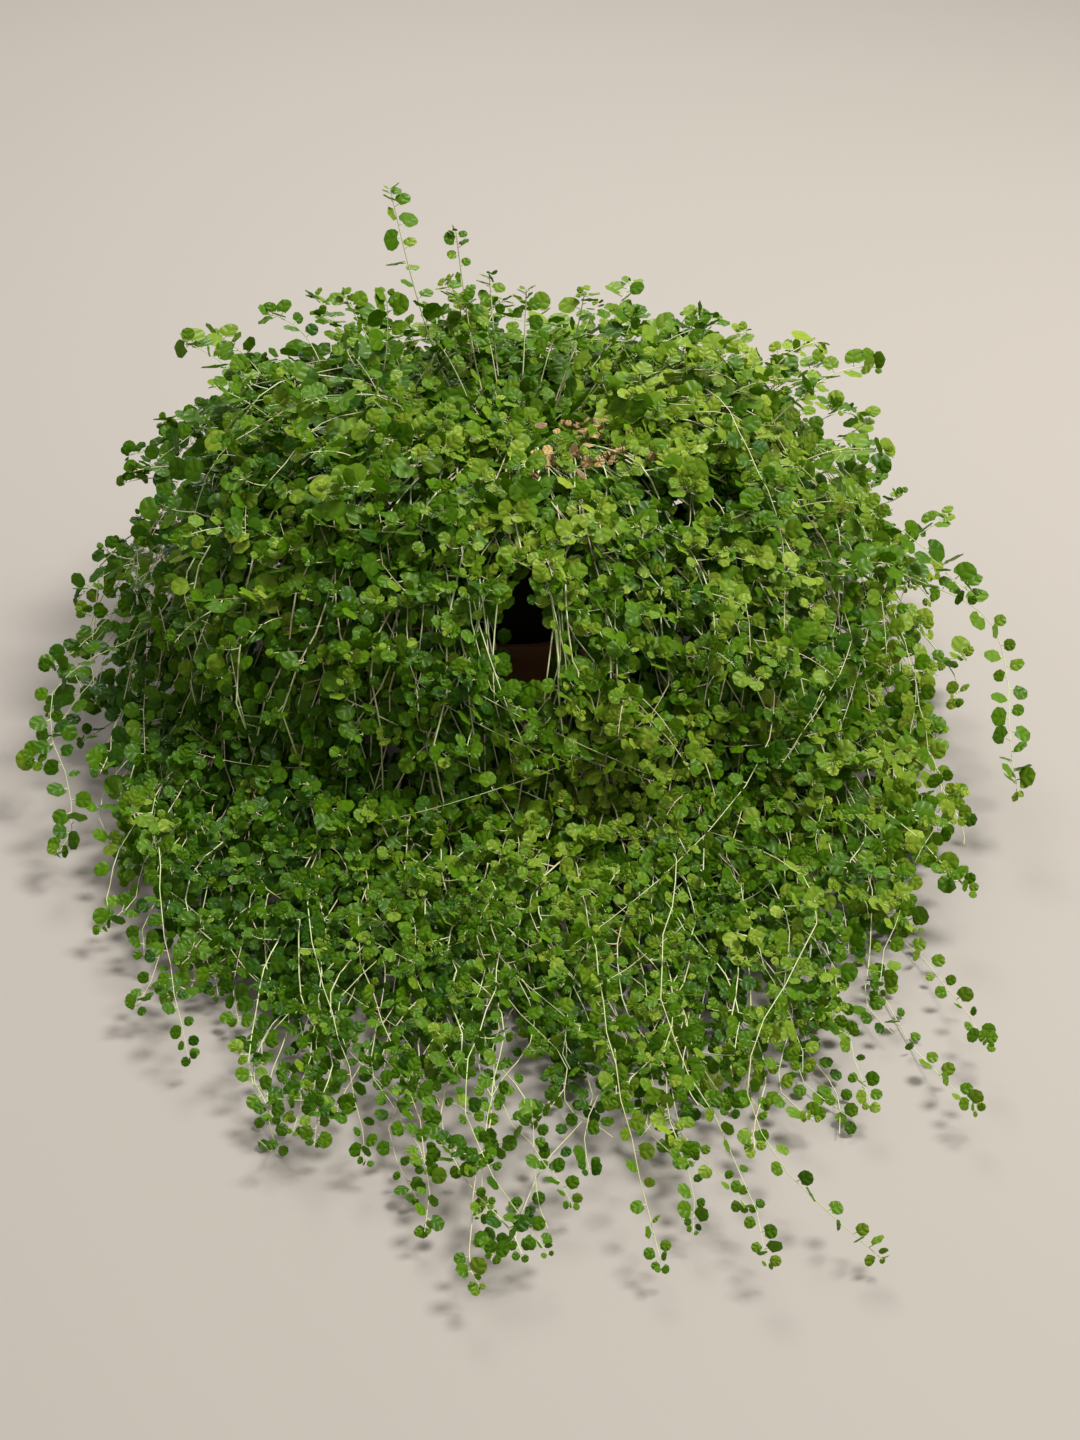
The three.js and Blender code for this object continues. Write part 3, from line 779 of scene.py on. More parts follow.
def hidden_by_peep(place, rng):
    """True for most places that would close the gap in front of the pot or cover the dry litter"""
    if any((place - Vector(spot)).length < LITTER.clear for spot in LITTER.spots):
        return rng.random() < LITTER.share
    if not before_pot(place):
        return False
    off = place - THIN.middle
    near = 1 - sum((value / half) ** 2 for value, half in zip(off, THIN.half))
    if rng.random() < THIN.share * smooth(2 * near):
        return True
    x, z = in_peep(place)
    return rng.random() < PEEP.share * smooth(1.7 - 1.3 * (x * x + z * z))


def parted(points):
    """Moves a stem's points to one side of the gap in front of the pot"""
    seen = [(point, *in_peep(point)) for point in points if before_pot(point)]
    crossing = [x for point, x, z in seen if abs(z) < 1]
    if not crossing:
        return
    hand = 1 if sum(crossing) > 0 else -1
    for point, x, z in seen:
        wanted = 0.5 + 0.5 * max(-1.0, min(1.0, x * hand))
        if x * hand < wanted:
            point.x += hand * (wanted - x * hand) * smooth(1.7 - z * z) * PEEP.half_x


def left_loose(place, rng):
    """True for a share of the places near the sides, the front tips and the top, where it is looser"""
    where = (abs(place.x - MIDDLE_X), -place.y, place.z)
    shares = (share * ramp(value, *rest) for value, (share, *rest) in zip(where, LOOSE.values()))
    return rng.random() < max(shares)


def drawn_in(place):
    """How far a stem is moved into the plant: at its sides, where it falls, and at the top's back"""
    side = ramp(abs(place.x - MIDDLE_X), *DRAWN_IN.side_x) * ramp(place.z, *DRAWN_IN.side_z)
    back = ramp(place.y, *DRAWN_IN.back_y) * ramp(place.z, *DRAWN_IN.back_z)
    return max(DRAWN_IN.side * side, DRAWN_IN.back * back)


def kept_in(place):
    """Moves a stem's point onto the floor and into the plant's reach"""
    place.x = min(max(place.x, REACH_LOW.x), REACH_HIGH.x)
    place.y = min(max(place.y, REACH_LOW.y), REACH_HIGH.y)
    place.z = max(place.z, STEM_FLOOR)


def within_reach(place, margin):
    """Whether a place is inside the plant's reach by a margin, at its sides and its top"""
    return all(
        low + margin < value < high - margin
        for value, low, high in zip(place[:2], REACH_LOW[:2], REACH_HIGH[:2])
    ) and place.z < REACH_HIGH.z - margin


def put_leaf(bm, place, along, face, size, tint, rng, plain=False):
    """Copies a leaf of the stock to a place, pointing along and facing as asked, clear of the floor"""
    along = along.normalized()
    across = along.cross(face).normalized()
    normal = across.cross(along)
    low = place.z + min(0.0, along.z * size)
    low -= LEAF_REACH.half_wide * size * abs(across.z) + LEAF_REACH.cup * size
    if low < FLOOR_GAP:
        place = place + UP * (FLOOR_GAP - low)
    if not within_reach(place, LEAF_REACH.round_foot * size):
        return
    turn = Matrix((across, along, normal)).transposed().to_4x4()
    matrix = Matrix.Translation(place) @ turn @ Matrix.Scale(size, 4)
    leaf = pick_leaf(size, tint, plain, rng)
    leaf.transform(matrix)
    bm.from_mesh(leaf)
    leaf.transform(matrix.inverted())


def leaf_runs(total, spacing, first):
    """From the tip back to the first leaf: length run, share of full size, share of the rosette"""
    back, gap, n = ROSETTE.first, ROSETTE.gap, 0
    while back < total - first:
        share = min(1.0, ROSETTE.tip_share + ROSETTE.share_step * n)
        yield total - back, share, max(0.0, 1 - back / ROSETTE.long)
        back += gap
        gap = min(spacing, gap * ROSETTE.growth)
        n += 1


def leaves_on(bm, course, size, spacing, first, tint, rng, lift=LEAF_LIFT, full=False):
    """Alternate leaves along a stem, crowded to a rosette at its tip"""
    hand = rng.choice((-1, 1))
    stray = LEAF_STRAY.full if full else LEAF_STRAY.other
    for run, share, bloom in leaf_runs(course[-1].run, spacing, first):
        at = station_at(course, run)
        hand = -hand
        bare = not full and run < course[-1].run - YOUNG.tip and left_loose(at.place, rng)
        if bare or hidden_by_peep(at.place, rng):
            continue
        turn = rng.gauss(0, LEAF_VARY.twist + LEAF_VARY.bloom_twist * bloom)
        twist = Matrix.Rotation(turn, 3, at.heading)
        forward = rng.uniform(*LEAF_VARY.forward) + YOUNG.forward * bloom * (1 - share)
        along = twist @ at.side * hand + at.heading * forward + at.outward * rng.uniform(0, 2 * lift)
        face = at.outward * 0.5 + lit_side(at.place) + at.heading * 0.5 * bloom
        face += scatter(rng, stray, stray, LEAF_STRAY.flat * stray)
        own = size * share * rng.uniform(*LEAF_VARY.size)
        shade = tint + rng.gauss(0, LEAF_VARY.tint) + YOUNG.tint * (1 - share)
        foot = at.place + along.normalized() * (STALK.length * own * STALK.shown)
        put_leaf(bm, foot, along, face, own, shade, rng)


def bowed(place, start, finish, length, steps, lowest):
    """Stations of a shoot that leaves a place in one direction and turns to another"""
    points = [place.copy()]
    for k in range(steps):
        step = start.lerp(finish, (k + 0.5) / steps).normalized() * (length / steps)
        points.append(points[-1] + step)
        points[-1].z = max(points[-1].z, lowest)
    return stations(points)


def side_shoot(at, hand, length, rng):
    """A short shoot that leaves a stem sideways and turns out to the light"""
    start = (at.heading * rng.uniform(0.3, 0.8) + at.side * hand * 0.8 + at.outward * 0.35).normalized()
    finish = (at.outward * 0.6 + lit_side(at.place) * 0.9 + at.side * hand * rng.uniform(-0.2, 0.6)
              + at.heading * rng.uniform(-0.1, 0.7)).normalized()
    return bowed(at.place, start, finish, length, 5, STEM_FLOOR)


def loose_shoot(at, hand, length, rng):
    """A thin shoot that stands away from the rest and bows down at its tip"""
    start = (at.outward * rng.uniform(0.8, 1.4) + at.side * hand * rng.uniform(0.1, 0.9)
             + at.heading * 0.5).normalized()
    finish = (start + at.heading * 0.5 - UP * rng.uniform(0.1, 0.9)).normalized()
    return bowed(at.place, start, finish, length, 7, 1.5)


def strand(course, q, count, band, share, levels, rng):
    """One thin stem of a bundle: it keeps to the bundle's course and wanders beside it"""
    fan = (q + 0.5) / count * 2 - 1 + rng.uniform(-STRAND.uneven, STRAND.uneven)
    phase = [rng.random() for _ in range(3)]
    level, tip_up, tip_side = (rng.uniform(*ends) for ends in (levels, STRAND.rise, STRAND.aside))
    end = course[-1].run * share
    points = []
    for at in course:
        if at.run > end:
            break
        free = ramp(at.run, *STRAND.free)
        beside = fan * (STRAND.foot + band * free) + free * sum(
            far * math.sin(FULL_TURN * (at.run / long + phase[n])) for far, long, n in WANDER)
        waved = STRAND.up * math.sin(FULL_TURN * (at.run / STRAND.up_wave + phase[2]))
        above = free * (level + waved) - drawn_in(at.place)
        tail = smooth((at.run - end + STRAND.tip) / STRAND.tip)
        point = at.place + at.side * (beside + tail * tip_side) + at.outward * (above + tail * tip_up)
        kept_in(point)
        points.append(point)
    parted(points)
    return stations(points)


def add_stems(bm, courses):
    """Tapering tubes along the courses, as faces of the second material"""
    curve = bpy.data.curves.new("stems", "CURVE")
    curve.dimensions = "3D"
    curve.bevel_depth = 1.0
    curve.bevel_resolution = 0
    curve.use_fill_caps = True
    for course, radius in courses:
        spline = curve.splines.new("POLY")
        spline.points.add(len(course) - 1)
        total = course[-1].run
        for point, at in zip(spline.points, course):
            point.co = (*at.place, 1)
            point.radius = radius * (1 - STEM_TAPER * at.run / total)
    holder = bpy.data.objects.new("stems", curve)
    mesh = bpy.data.meshes.new_from_object(holder)
    mesh.polygons.foreach_set("material_index", [1] * len(mesh.polygons))
    bm.from_mesh(mesh)
    bpy.data.objects.remove(holder)
    bpy.data.curves.remove(curve)
    bpy.data.meshes.remove(mesh)


def leaf_size():
    return bpy.context.scene.vine_foliage.leaf_length / MM


def stem_size():
    return bpy.context.scene.vine_foliage.stem_radius / MM


def size_at(place, scale=1.0):
    """Leaves are largest on the crown's top and smaller at the far tips in front"""
    near_front = ramp(-place.y, *LEAF_SIZE.front_y)
    on_top = ramp(place.z, *LEAF_SIZE.top_z)
    return leaf_size() * scale * (1 + LEAF_SIZE.on_top * on_top - LEAF_SIZE.far_front * near_front)


def tint_at(place, own):
    """Tint round a leaf's own, with painted light: paler on top and towards the right where the light
    falls, deeper on the left in painted shade
    """
    on_top = ramp(place.z, *TINT.top_z)
    rightward = math.tanh((place.x - TINT.right_x[0]) / TINT.right_x[1])
    return TINT.middle + own + TINT.on_top * on_top + TINT.rightward * rightward


def add_shoot(bm, stems, shoot, plan, rng):
    """Adds a shoot to a bundle's stems, and its leaves"""
    tip = shoot[-1].place
    stems.append((shoot, stem_size() * plan.radius))
    size = size_at(tip) * rng.uniform(*plan.size)
    tint = tint_at(tip, rng.gauss(0, plan.tint))
    leaves_on(bm, shoot, size, plan.leaf_gap, plan.first, tint, rng, full=plan.full)


def side_shoots(bm, stems, course, gap, bare_end, rng):
    """Short shoots with their leaves, to both sides of a stem in turn"""
    run = rng.uniform(*SIDE_FROM)
    hand = rng.choice((-1, 1))
    while run < course[-1].run - bare_end:
        at = station_at(course, run)
        hand = -hand
        shoot = side_shoot(at, hand, rng.uniform(*SIDE_SHOOT.length), rng)
        tip = shoot[-1].place
        clear = within_reach(tip, SIDE_SHOOT.margin) and not hidden_by_peep(at.place, rng)
        if clear and not left_loose(tip, rng):
            add_shoot(bm, stems, shoot, SIDE_SHOOT, rng)
        run += gap * rng.uniform(*UNEVEN_GAP)


def fill_bundle(bm, course, kind, rng):
    """The stems, side shoots and leaves that stand for one vine"""
    plan = BUNDLES[kind]
    stems = []
    count = plan.strands
    for q in range(count):
        long_one = q == count // 2
        shortest = plan.shortest if course[-1].place.y < BACK_FROM else BACK_SHORTEST
        share = rng.uniform(*(STRAND.longest if long_one else (shortest, 1.0)))
        one = strand(course, q, count, plan.band, share, STRAND.levels, rng)
        stems.append((thinned(one), stem_size() * rng.uniform(*STRAND.radius)))
        middle = station_at(one, one[-1].run * 0.7).place
        tint = tint_at(middle, rng.gauss(0, STRAND.tint))
        leaves_on(bm, one, size_at(middle), plan.leaf_gap, STRAND.leaves_from, tint, rng)
        bare_end = STRAND.bare_tip if long_one and kind != "under" else STRAND.bare_end
        side_shoots(bm, stems, one, plan.shoot_gap, bare_end, rng)
    for q in range(plan.loose):
        at = station_at(course, course[-1].run * rng.uniform(*LOOSE_FROM))
        shoot = loose_shoot(at, rng.choice((-1, 1)), rng.uniform(*LOOSE_SHOOT.length), rng)
        if within_reach(shoot[-1].place, LOOSE_SHOOT.margin) and not hidden_by_peep(at.place, rng):
            add_shoot(bm, stems, shoot, LOOSE_SHOOT, rng)
    for q in range(plan.inner):
        share = rng.uniform(*INNER.share)
        one = strand(course, q, plan.inner, plan.band * INNER.wider, share, INNER.levels, rng)
        stems.append((thinned(one), stem_size() * INNER.radius))
        inner_leaves(bm, one, rng)
    add_stems(bm, stems)


def wisp_course(course, share, tip, rise, seed):
    """A loose stem that leaves a vine part of the way along and wanders to a tip of its own"""
    start = station_at(course, course[-1].run * share)
    away = (tip - start.place).length
    control = start.place + (start.heading + UP * rise) * (WISP.reach * away)
    sway = start.side * away * spread(seed, 93, -WISP.sway, WISP.sway)
    points = []
    for k in range(WISP.steps + 1):
        t = k / WISP.steps
        point = start.place * (1 - t) ** 2 + control * (2 * t * (1 - t)) + tip * t * t
        knee = start.side * (WISP.knee * (-1) ** k * draw(seed, k))
        points.append(point + sway * math.sin(math.pi * t * spread(seed, 94, 1, 3)) + knee)
        kept_in(points[-1])
    return stations(points)


def bearing(place):
    """A place's angle from the front"""
    return math.atan2(place.x, -place.y)


def off_line(course, tip):
    """How far round the pot a course's end is from a tip"""
    return abs(math.remainder(bearing(course[-1].place) - bearing(tip), FULL_TURN))


def wisps_of(courses):
    """For each wisp the name of the vine it grows from, and its course"""
    over = [(name, course) for name, course, seed, kind in courses if kind == "over"]
    tips = [Vector(tip) for tip in WISP_TIPS]
    for i in range(FRINGE.count):
        turn = spread(i, 96, -FRINGE.turn, FRINGE.turn)
        tip = resting_end(turn, spread(i, 97, *FRINGE.reach))
        tips.append(tip + UP * spread(i, 98, *FRINGE.tip_z))
    for i, tip in enumerate(tips):
        name, course = min(over, key=lambda entry: off_line(entry[1], tip))
        plan = WISP if i < len(WISP_TIPS) else FRINGE
        yield name, wisp_course(course, spread(i, 95, *plan.share), tip, plan.rise, i)


def crossings_of(courses):
    """Loose stems that run slantwise over their neighbours: the vine each grows from, and its course"""
    over = [(name, course) for name, course, seed, kind in courses if kind == "over"]
    for i in range(CROSSING.count):
        n = i % len(over)
        hand = 1 if draw(i, 81) < 0.5 else -1
        name, course = over[n]
        other = over[(n + hand * (2 + round(2 * draw(i, 82)))) % len(over)][1]
        foot = spread(i, 85, *CROSSING.share)
        goal = station_at(other, other[-1].run * (foot + spread(i, 83, *CROSSING.further)))
        tip = goal.place + goal.outward * spread(i, 84, *CROSSING.over)
        from_peep = math.hypot(*in_peep(station_at(course, course[-1].run * foot).place))
        if within_reach(tip, 0) and from_peep >= PEEP.clear:
            yield name, wisp_course(course, foot, tip, spread(i, 86, *CROSSING.rise), i)


def thinned(course):
    """Every second station of a long stem, with its last"""
    return course[:-1:2] + course[-1:]


def add_wisp(bm, course, bare, rng):
    """A loose stem with its leaves, bare for a length from its foot"""
    tip = course[-1].place
    add_stems(bm, [(course, stem_size() * WISP.radius)])
    size = size_at(tip) * WISP.leaf
    tint = tint_at(tip, rng.gauss(0, WISP.tint))
    leaves_on(bm, course, size, WISP.gap, bare, tint, rng, full=True)


def inner_leaves(bm, course, rng):
    """Plainer, deeper green leaves on a stem that runs below the others"""
    run = INNER.leaves_from
    hand = 1
    while run < course[-1].run:
        at = station_at(course, run)
        run += INNER.gap * rng.uniform(*UNEVEN_GAP)
        hand = -hand
        if hidden_by_peep(at.place, rng) or left_loose(at.place, rng):
            continue
        along = at.side * hand + at.heading * rng.uniform(*INNER.forward)
        along += at.outward * rng.uniform(*INNER.outward)
        face = at.outward * 0.5 + lit_side(at.place) * 0.7 + scatter(rng, *INNER.stray)
        own = size_at(at.place, INNER.leaf) * rng.uniform(*INNER.size)
        tint = rng.uniform(*INNER.tint)
        put_leaf(bm, at.place + along * 1.5, along, face, own, tint, rng, plain=True)


def crown_shoots():
    """Foot and tip of the short shoots that make the crown's dense top"""
    for i in range(CROWN.count):
        angle = i * GOLDEN_ANGLE
        ring = math.sqrt((i + 0.5) / CROWN.count)
        way = Vector((math.cos(angle), math.sin(angle), 0))
        foot = way * ring * CROWN.foot_r + UP * SOIL_TOP
        height = spread(i, 91, *CROWN.tip_z) - CROWN.lower_out * ring
        yield foot, way * ring * spread(i, 92, *CROWN.tip_r) + UP * height


def colour_setting(name, description, red, green, blue):
    return bpy.props.FloatVectorProperty(
        name=name, description=description, subtype="COLOR", default=(red, green, blue))


class FoliageSettings(bpy.types.PropertyGroup):
    """Sizes and colours of leaves, stems and litter"""

    leaf_length: bpy.props.FloatProperty(
        name="Leaf length", description="Length of a full-grown leaf without its stalk",
        default=0.0070, min=0.003, max=0.02, precision=4, unit="LENGTH")
    stem_radius: bpy.props.FloatProperty(
        name="Stem radius", description="Radius of a trailing stem at its foot",
        default=0.00055, min=0.0002, max=0.002, precision=5, unit="LENGTH")
    leaf_dark: colour_setting("Deep leaf", "Colour of the deepest green leaves", 0.026, 0.088, 0.002)
    leaf_mid: colour_setting("Leaf", "Colour of most leaves", 0.097, 0.212, 0.003)
    leaf_light: colour_setting("Young leaf", "Colour of young and sunlit leaves", 0.310, 0.410, 0.035)
    # Vein colour, also the painted shade that a leaf's furrows are darkened towards
    leaf_vein: colour_setting("Vein", "Colour of the furrows over a leaf's veins", 0.020, 0.080, 0.003)
    leaf_glow: colour_setting(
        "Light through", "Colour of light that comes through a leaf", 0.42, 0.72, 0.03)
    stem_green: colour_setting("Green stem", "Greenish part of a stem", 0.42, 0.52, 0.20)
    stem_tan: colour_setting("Tan stem", "Pinkish part of a stem", 0.47, 0.41, 0.21)
    stem_pale: colour_setting("Pale stem", "Palest part of a stem", 0.72, 0.74, 0.46)
    dry_dark: colour_setting("Dark litter", "Darker dry leaves", 0.14, 0.075, 0.025)
    dry_light: colour_setting("Light litter", "Paler dry leaves", 0.46, 0.31, 0.11)


class HolderSettings(bpy.types.PropertyGroup):
    """Colours of the pot, the saucer and the soil, and how finely they are turned"""

    turn_steps: bpy.props.IntProperty(
        name="Steps in a turn", description="Flats round the pot and the saucer",
        default=96, min=24, max=192)
    pot_colour: colour_setting("Pot", "Black plastic", 0.008, 0.008, 0.009)
    pot_dust: colour_setting("Pot dust", "Dust on the pot", 0.06, 0.05, 0.04)
    clay_colour: colour_setting("Saucer", "Terracotta", 0.88, 0.31, 0.10)
    clay_damp: colour_setting("Damp clay", "Darker damp patches", 0.22, 0.055, 0.022)
    clay_bloom: colour_setting("Lime bloom", "Pale bloom on the clay", 0.60, 0.42, 0.32)
    soil_dark: colour_setting("Dark soil", "Damp soil", 0.012, 0.008, 0.005)
    soil_light: colour_setting("Light soil", "Drier crumbs", 0.09, 0.055, 0.032)
    soil_fibre: colour_setting("Fibres", "Fibres in the soil", 0.24, 0.17, 0.10)


class StageSettings(bpy.types.PropertyGroup):
    """The floor and the light"""

    floor_colour: colour_setting("Floor", "Plain pale floor", 0.29, 0.260, 0.226)
    key_power: bpy.props.FloatProperty(
        name="Key light", description="Power of the large soft light above the right shoulder",
        default=86.0, min=0, max=500, unit="POWER")
    sky: bpy.props.FloatProperty(
        name="Room light", description="Strength of the light from all round",
        default=0.5, min=0, max=5)


class VINE_OT_trailing(bpy.types.Operator):
    """Make the leafy stems that trail over the pot and along the surface"""

    bl_idname = "vine.trailing"
    bl_label = "Trailing stems"

    def execute(self, context):
        courses = vine_courses()
        wisps = [(name, wisp, WISP.bare) for name, wisp in wisps_of(courses)]
        wisps += [(name, wisp, wisp[-1].run * CROSSING.bare) for name, wisp in crossings_of(courses)]
        for name, course, seed, kind in courses:
            bm = bmesh.new()
            rng = random.Random(seed)
            fill_bundle(bm, course, kind, rng)
            for parent, wisp, bare in wisps:
                if parent == name:
                    add_wisp(bm, wisp, bare, rng)
            surfaces = [vine_leaf, vine_stem]
            finished(f"{name}_leafy", bm, surfaces, context.scene.vine_foliage, [name])
        clear_stock()
        return {"FINISHED"}


class VINE_OT_crown(bpy.types.Operator):
    """Make the dense top of short shoots and the few tall ones"""

    bl_idname = "vine.crown"
    bl_label = "Crown"

    def execute(self, context):
        leaf, radius = leaf_size(), stem_size()
        rng = random.Random(SEEDS.crown)
        bm = bmesh.new()
        stems = []
        for foot, tip in crown_shoots():
            course = shoot_course(foot, tip, CROWN)
            stems.append((course, radius * CROWN.radius))
            tint = tint_at(tip, rng.gauss(0, CROWN.tint))
            size = leaf * CROWN.leaf * rng.uniform(*CROWN.size)
            leaves_on(bm, course, size, CROWN.leaf_gap, CROWN.first, tint, rng)
        for x, y, z in TALL_TIPS:
            foot_x, foot_y, foot_z = TALL.foot
            foot = Vector((foot_x * x, foot_y * y, SOIL_TOP + foot_z * CORE_HEIGHT))
            course = shoot_course(foot, Vector((x, y, z)), TALL)
            stems.append((course, radius))
            size = leaf * rng.uniform(*TALL.size)
            leaves_on(bm, course, size, TALL.leaf_gap, TALL.first, TALL.tint, rng, TALL.lift, full=True)
        for i in range(MIDDLING.count):
            x, y, z = (spread(i, 61 + axis, *ends) for axis, ends in enumerate(MIDDLING.tips))
            foot = Vector((MIDDLING.foot * x, MIDDLING.foot * y, SOIL_TOP))
            course = shoot_course(foot, Vector((x, y, z)), MIDDLING)
            stems.append((course, radius * MIDDLING.radius))
            size = leaf * rng.uniform(*TALL.size)
            tint = tint_at(course[-1].place, 0)
            leaves_on(bm, course, size, MIDDLING.leaf_gap, MIDDLING.first, tint, rng, full=True)
        add_stems(bm, stems)
        surfaces = [vine_leaf, vine_stem]
        finished("crown_leafy", bm, surfaces, context.scene.vine_foliage, ["crown"])
        clear_stock()
        return {"FINISHED"}


def turned(profile, steps):
    """A solid of revolution from a profile of radius and height that starts and ends on the axis"""
    bm = bmesh.new()
    verts = [bm.verts.new((r, 0, z)) for r, z in profile]
    edges = [bm.edges.new(pair) for pair in zip(verts, verts[1:])]
    bmesh.ops.spin(
        bm, geom=verts + edges, axis=(0, 0, 1), cent=(0, 0, 0), angle=FULL_TURN, steps=steps,
        use_merge=True)
    bmesh.ops.remove_doubles(bm, verts=bm.verts, dist=0.001)
    bmesh.ops.recalc_face_normals(bm, faces=bm.faces)
    return bm


def round_corners(bm, offset, sharper_than=25):
    """Rounds every edge round a turned piece that is sharper than an angle in degrees"""
    limit = math.radians(sharper_than)
    edges = [e for e in bm.edges if e.is_manifold and e.calc_face_angle() > limit]
    bmesh.ops.bevel(
        bm, geom=edges, offset=offset, segments=3, profile=0.5, affect="EDGES", material=-1,
        clamp_overlap=True)


def shade(bm, sharper_than=38):
    """Smooth faces, with sharp edges where two faces meet at more than an angle in degrees"""
    limit = math.radians(sharper_than)
    for face in bm.faces:
        face.smooth = True
    for edge in bm.edges:
        if edge.is_manifold and edge.calc_face_angle() > limit:
            edge.smooth = False


def pot_outer(z):
    top = POT_HIGH.x - POT.band_out
    return POT.base_r + (top - POT.base_r) * (z - POT_LOW.z) / (POT_HIGH.z - POT_LOW.z)


def pot_inner(z):
    return pot_outer(z) - POT.wall


def pot_profile():
    low, top, rim = POT_LOW.z, POT_HIGH.z, POT_HIGH.x
    band = top - POT.band_h
    floor = low + POT.wall
    return [
        (0, low + 0.6), (POT.base_r - 6, low + 0.6), (POT.base_r - 5, low), (pot_outer(low) - 0.3, low),
        (pot_outer(low + 1.5), low + 1.5), (pot_outer(band - 4), band - 4), (pot_outer(band), band),
        (rim - 0.9, band + 0.4), (rim - 0.5, top - POT.lip_h), (rim, top - POT.lip_h + 0.4),
        (rim, top), (pot_inner(top) + 0.4, top), (pot_inner(top - 2), top - 2),
        (pot_inner(floor + 2), floor + 2), (pot_inner(floor) - 2, floor), (0, floor),
    ]


def cut_drain_holes(bm):
    """Cuts the round drain holes out of the pot's floor"""
    shell = bpy.data.meshes.new("shell")
    bm.to_mesh(shell)
    bm.clear()
    for i in range(DRAIN.count):
        angle = (i + 0.5) * FULL_TURN / DRAIN.count
        place = Vector((DRAIN.ring_r * math.cos(angle), DRAIN.ring_r * math.sin(angle), POT_LOW.z))
        bmesh.ops.create_cone(
            bm, cap_ends=True, segments=24, radius1=DRAIN.radius, radius2=DRAIN.radius, depth=12,
            matrix=Matrix.Translation(place))
    plugs = bpy.data.meshes.new("plugs")
    bm.to_mesh(plugs)
    bm.clear()
    pot, tool = linked("shell", shell), linked("plugs", plugs)
    cut = pot.modifiers.new("drain", "BOOLEAN")
    cut.operation = "DIFFERENCE"
    cut.solver = "EXACT"
    cut.object = tool
    graph = bpy.context.evaluated_depsgraph_get()
    done = bpy.data.meshes.new_from_object(pot.evaluated_get(graph))
    bm.from_mesh(done)
    for holder in (pot, tool):
        bpy.data.objects.remove(holder)
    for mesh in (shell, plugs, done):
        bpy.data.meshes.remove(mesh)


class VINE_OT_pot(bpy.types.Operator):
    """Make the black nursery pot"""

    bl_idname = "vine.pot"
    bl_label = "Nursery pot"

    def execute(self, context):
        holders = context.scene.vine_holders
        bm = turned(pot_profile(), holders.turn_steps)
        round_corners(bm, 0.35)
        cut_drain_holes(bm)
        shade(bm)
        finished("pot_shell", bm, [pot_plastic], holders, ["nursery_pot"])
        return {"FINISHED"}


class VINE_OT_saucer(bpy.types.Operator):
    """Make the low saucer with its raised band"""

    bl_idname = "vine.saucer"
    bl_label = "Saucer"

    def execute(self, context):
        top, rim = SAUCER_HIGH.z, SAUCER_HIGH.x
        foot, wall, floor = SAUCER.foot_r, SAUCER.wall, SAUCER.floor
        band = top - SAUCER.band_h

        def wall_r(z):
            return foot + (rim - SAUCER.band_out - foot) * z / top

        profile = [
            (0, 0.8), (foot - 8, 0.8), (foot - 7, 0), (foot - 1, 0), (wall_r(1.2), 1.2),
            (wall_r(band), band), (rim - 0.2, band + 0.5), (rim, top), (wall_r(top) - wall + 0.3, top),
            (wall_r(top - 2) - wall, top - 2), (wall_r(floor + 3) - wall, floor + 3),
            (wall_r(floor) - wall - 3, floor), (0, floor),
        ]
        bm = turned(profile, context.scene.vine_holders.turn_steps)
        round_corners(bm, 0.5)
        shade(bm)
        finished("saucer_dish", bm, [clay], context.scene.vine_holders, ["saucer"])
        return {"FINISHED"}


class VINE_OT_soil(bpy.types.Operator):
    """Make the soil with its rough top and loose crumbs"""

    bl_idname = "vine.soil"
    bl_label = "Soil"

    def execute(self, context):
        low, top, wide = SOIL_LOW.z, SOIL_TOP, SOIL_HIGH.x
        rings = [(wide * (1 - n / SOIL.rings), top - SOIL.rough) for n in range(SOIL.rings + 1)]
        bm = turned([(0, low), (pot_inner(low) - 0.3, low)] + rings, SOIL.steps)
        for vert in bm.verts:
            if vert.co.z > top - 2 * SOIL.rough:
                inside = smooth((wide - math.hypot(vert.co.x, vert.co.y)) / 4)
                vert.co.z += inside * SOIL.rough * noise.noise(vert.co * 0.16)
                vert.co.z += inside * SOIL.rough * 0.5 * noise.noise(vert.co * 0.5)
        rng = random.Random(SEEDS.soil)
        for _ in range(SOIL.crumbs):
            angle, r = rng.uniform(0, FULL_TURN), (wide - 5) * math.sqrt(rng.random())
            size = rng.uniform(0.5, 1.9)
            place = Vector((r * math.cos(angle), r * math.sin(angle), top - SOIL.rough + 0.2 * size))
            deep, high = size * rng.uniform(0.6, 1), size * rng.uniform(0.5, 0.9)
            squash = Matrix.Diagonal((size, deep, high, 1))
            turn = Matrix.Rotation(rng.uniform(0, FULL_TURN), 4, [rng.random() for _ in range(3)])
            bmesh.ops.create_icosphere(
                bm, subdivisions=1, radius=1, matrix=Matrix.Translation(place) @ turn @ squash)
        shade(bm, 60)
        finished("soil_fill", bm, [potting_soil], context.scene.vine_holders, ["soil"])
        return {"FINISHED"}


class VINE_OT_litter(bpy.types.Operator):
    """Make the dry leaves caught among the stems near the rim"""

    bl_idname = "vine.litter"
    bl_label = "Dry litter"

    def execute(self, context):
        rng = random.Random(SEEDS.litter)
        bm = bmesh.new()
        wide, deep = LITTER.spread
        for _ in range(LITTER.count):
            spot = rng.choice(LITTER.spots)
            place = Vector(spot) + Vector((rng.gauss(0, wide), rng.gauss(0, deep), rng.gauss(3, 2)))
            along = scatter(rng, 1, 1, LITTER.flat)
            face = UP + Vector((rng.gauss(0, 1.2), rng.gauss(0, 1.2), 0))
            put_leaf(bm, place, along, face, rng.uniform(*LITTER.size), rng.random(), rng)
        surfaces = [vine_litter, vine_litter]
        finished("dry_litter", bm, surfaces, context.scene.vine_foliage, [])
        clear_stock()
        return {"FINISHED"}


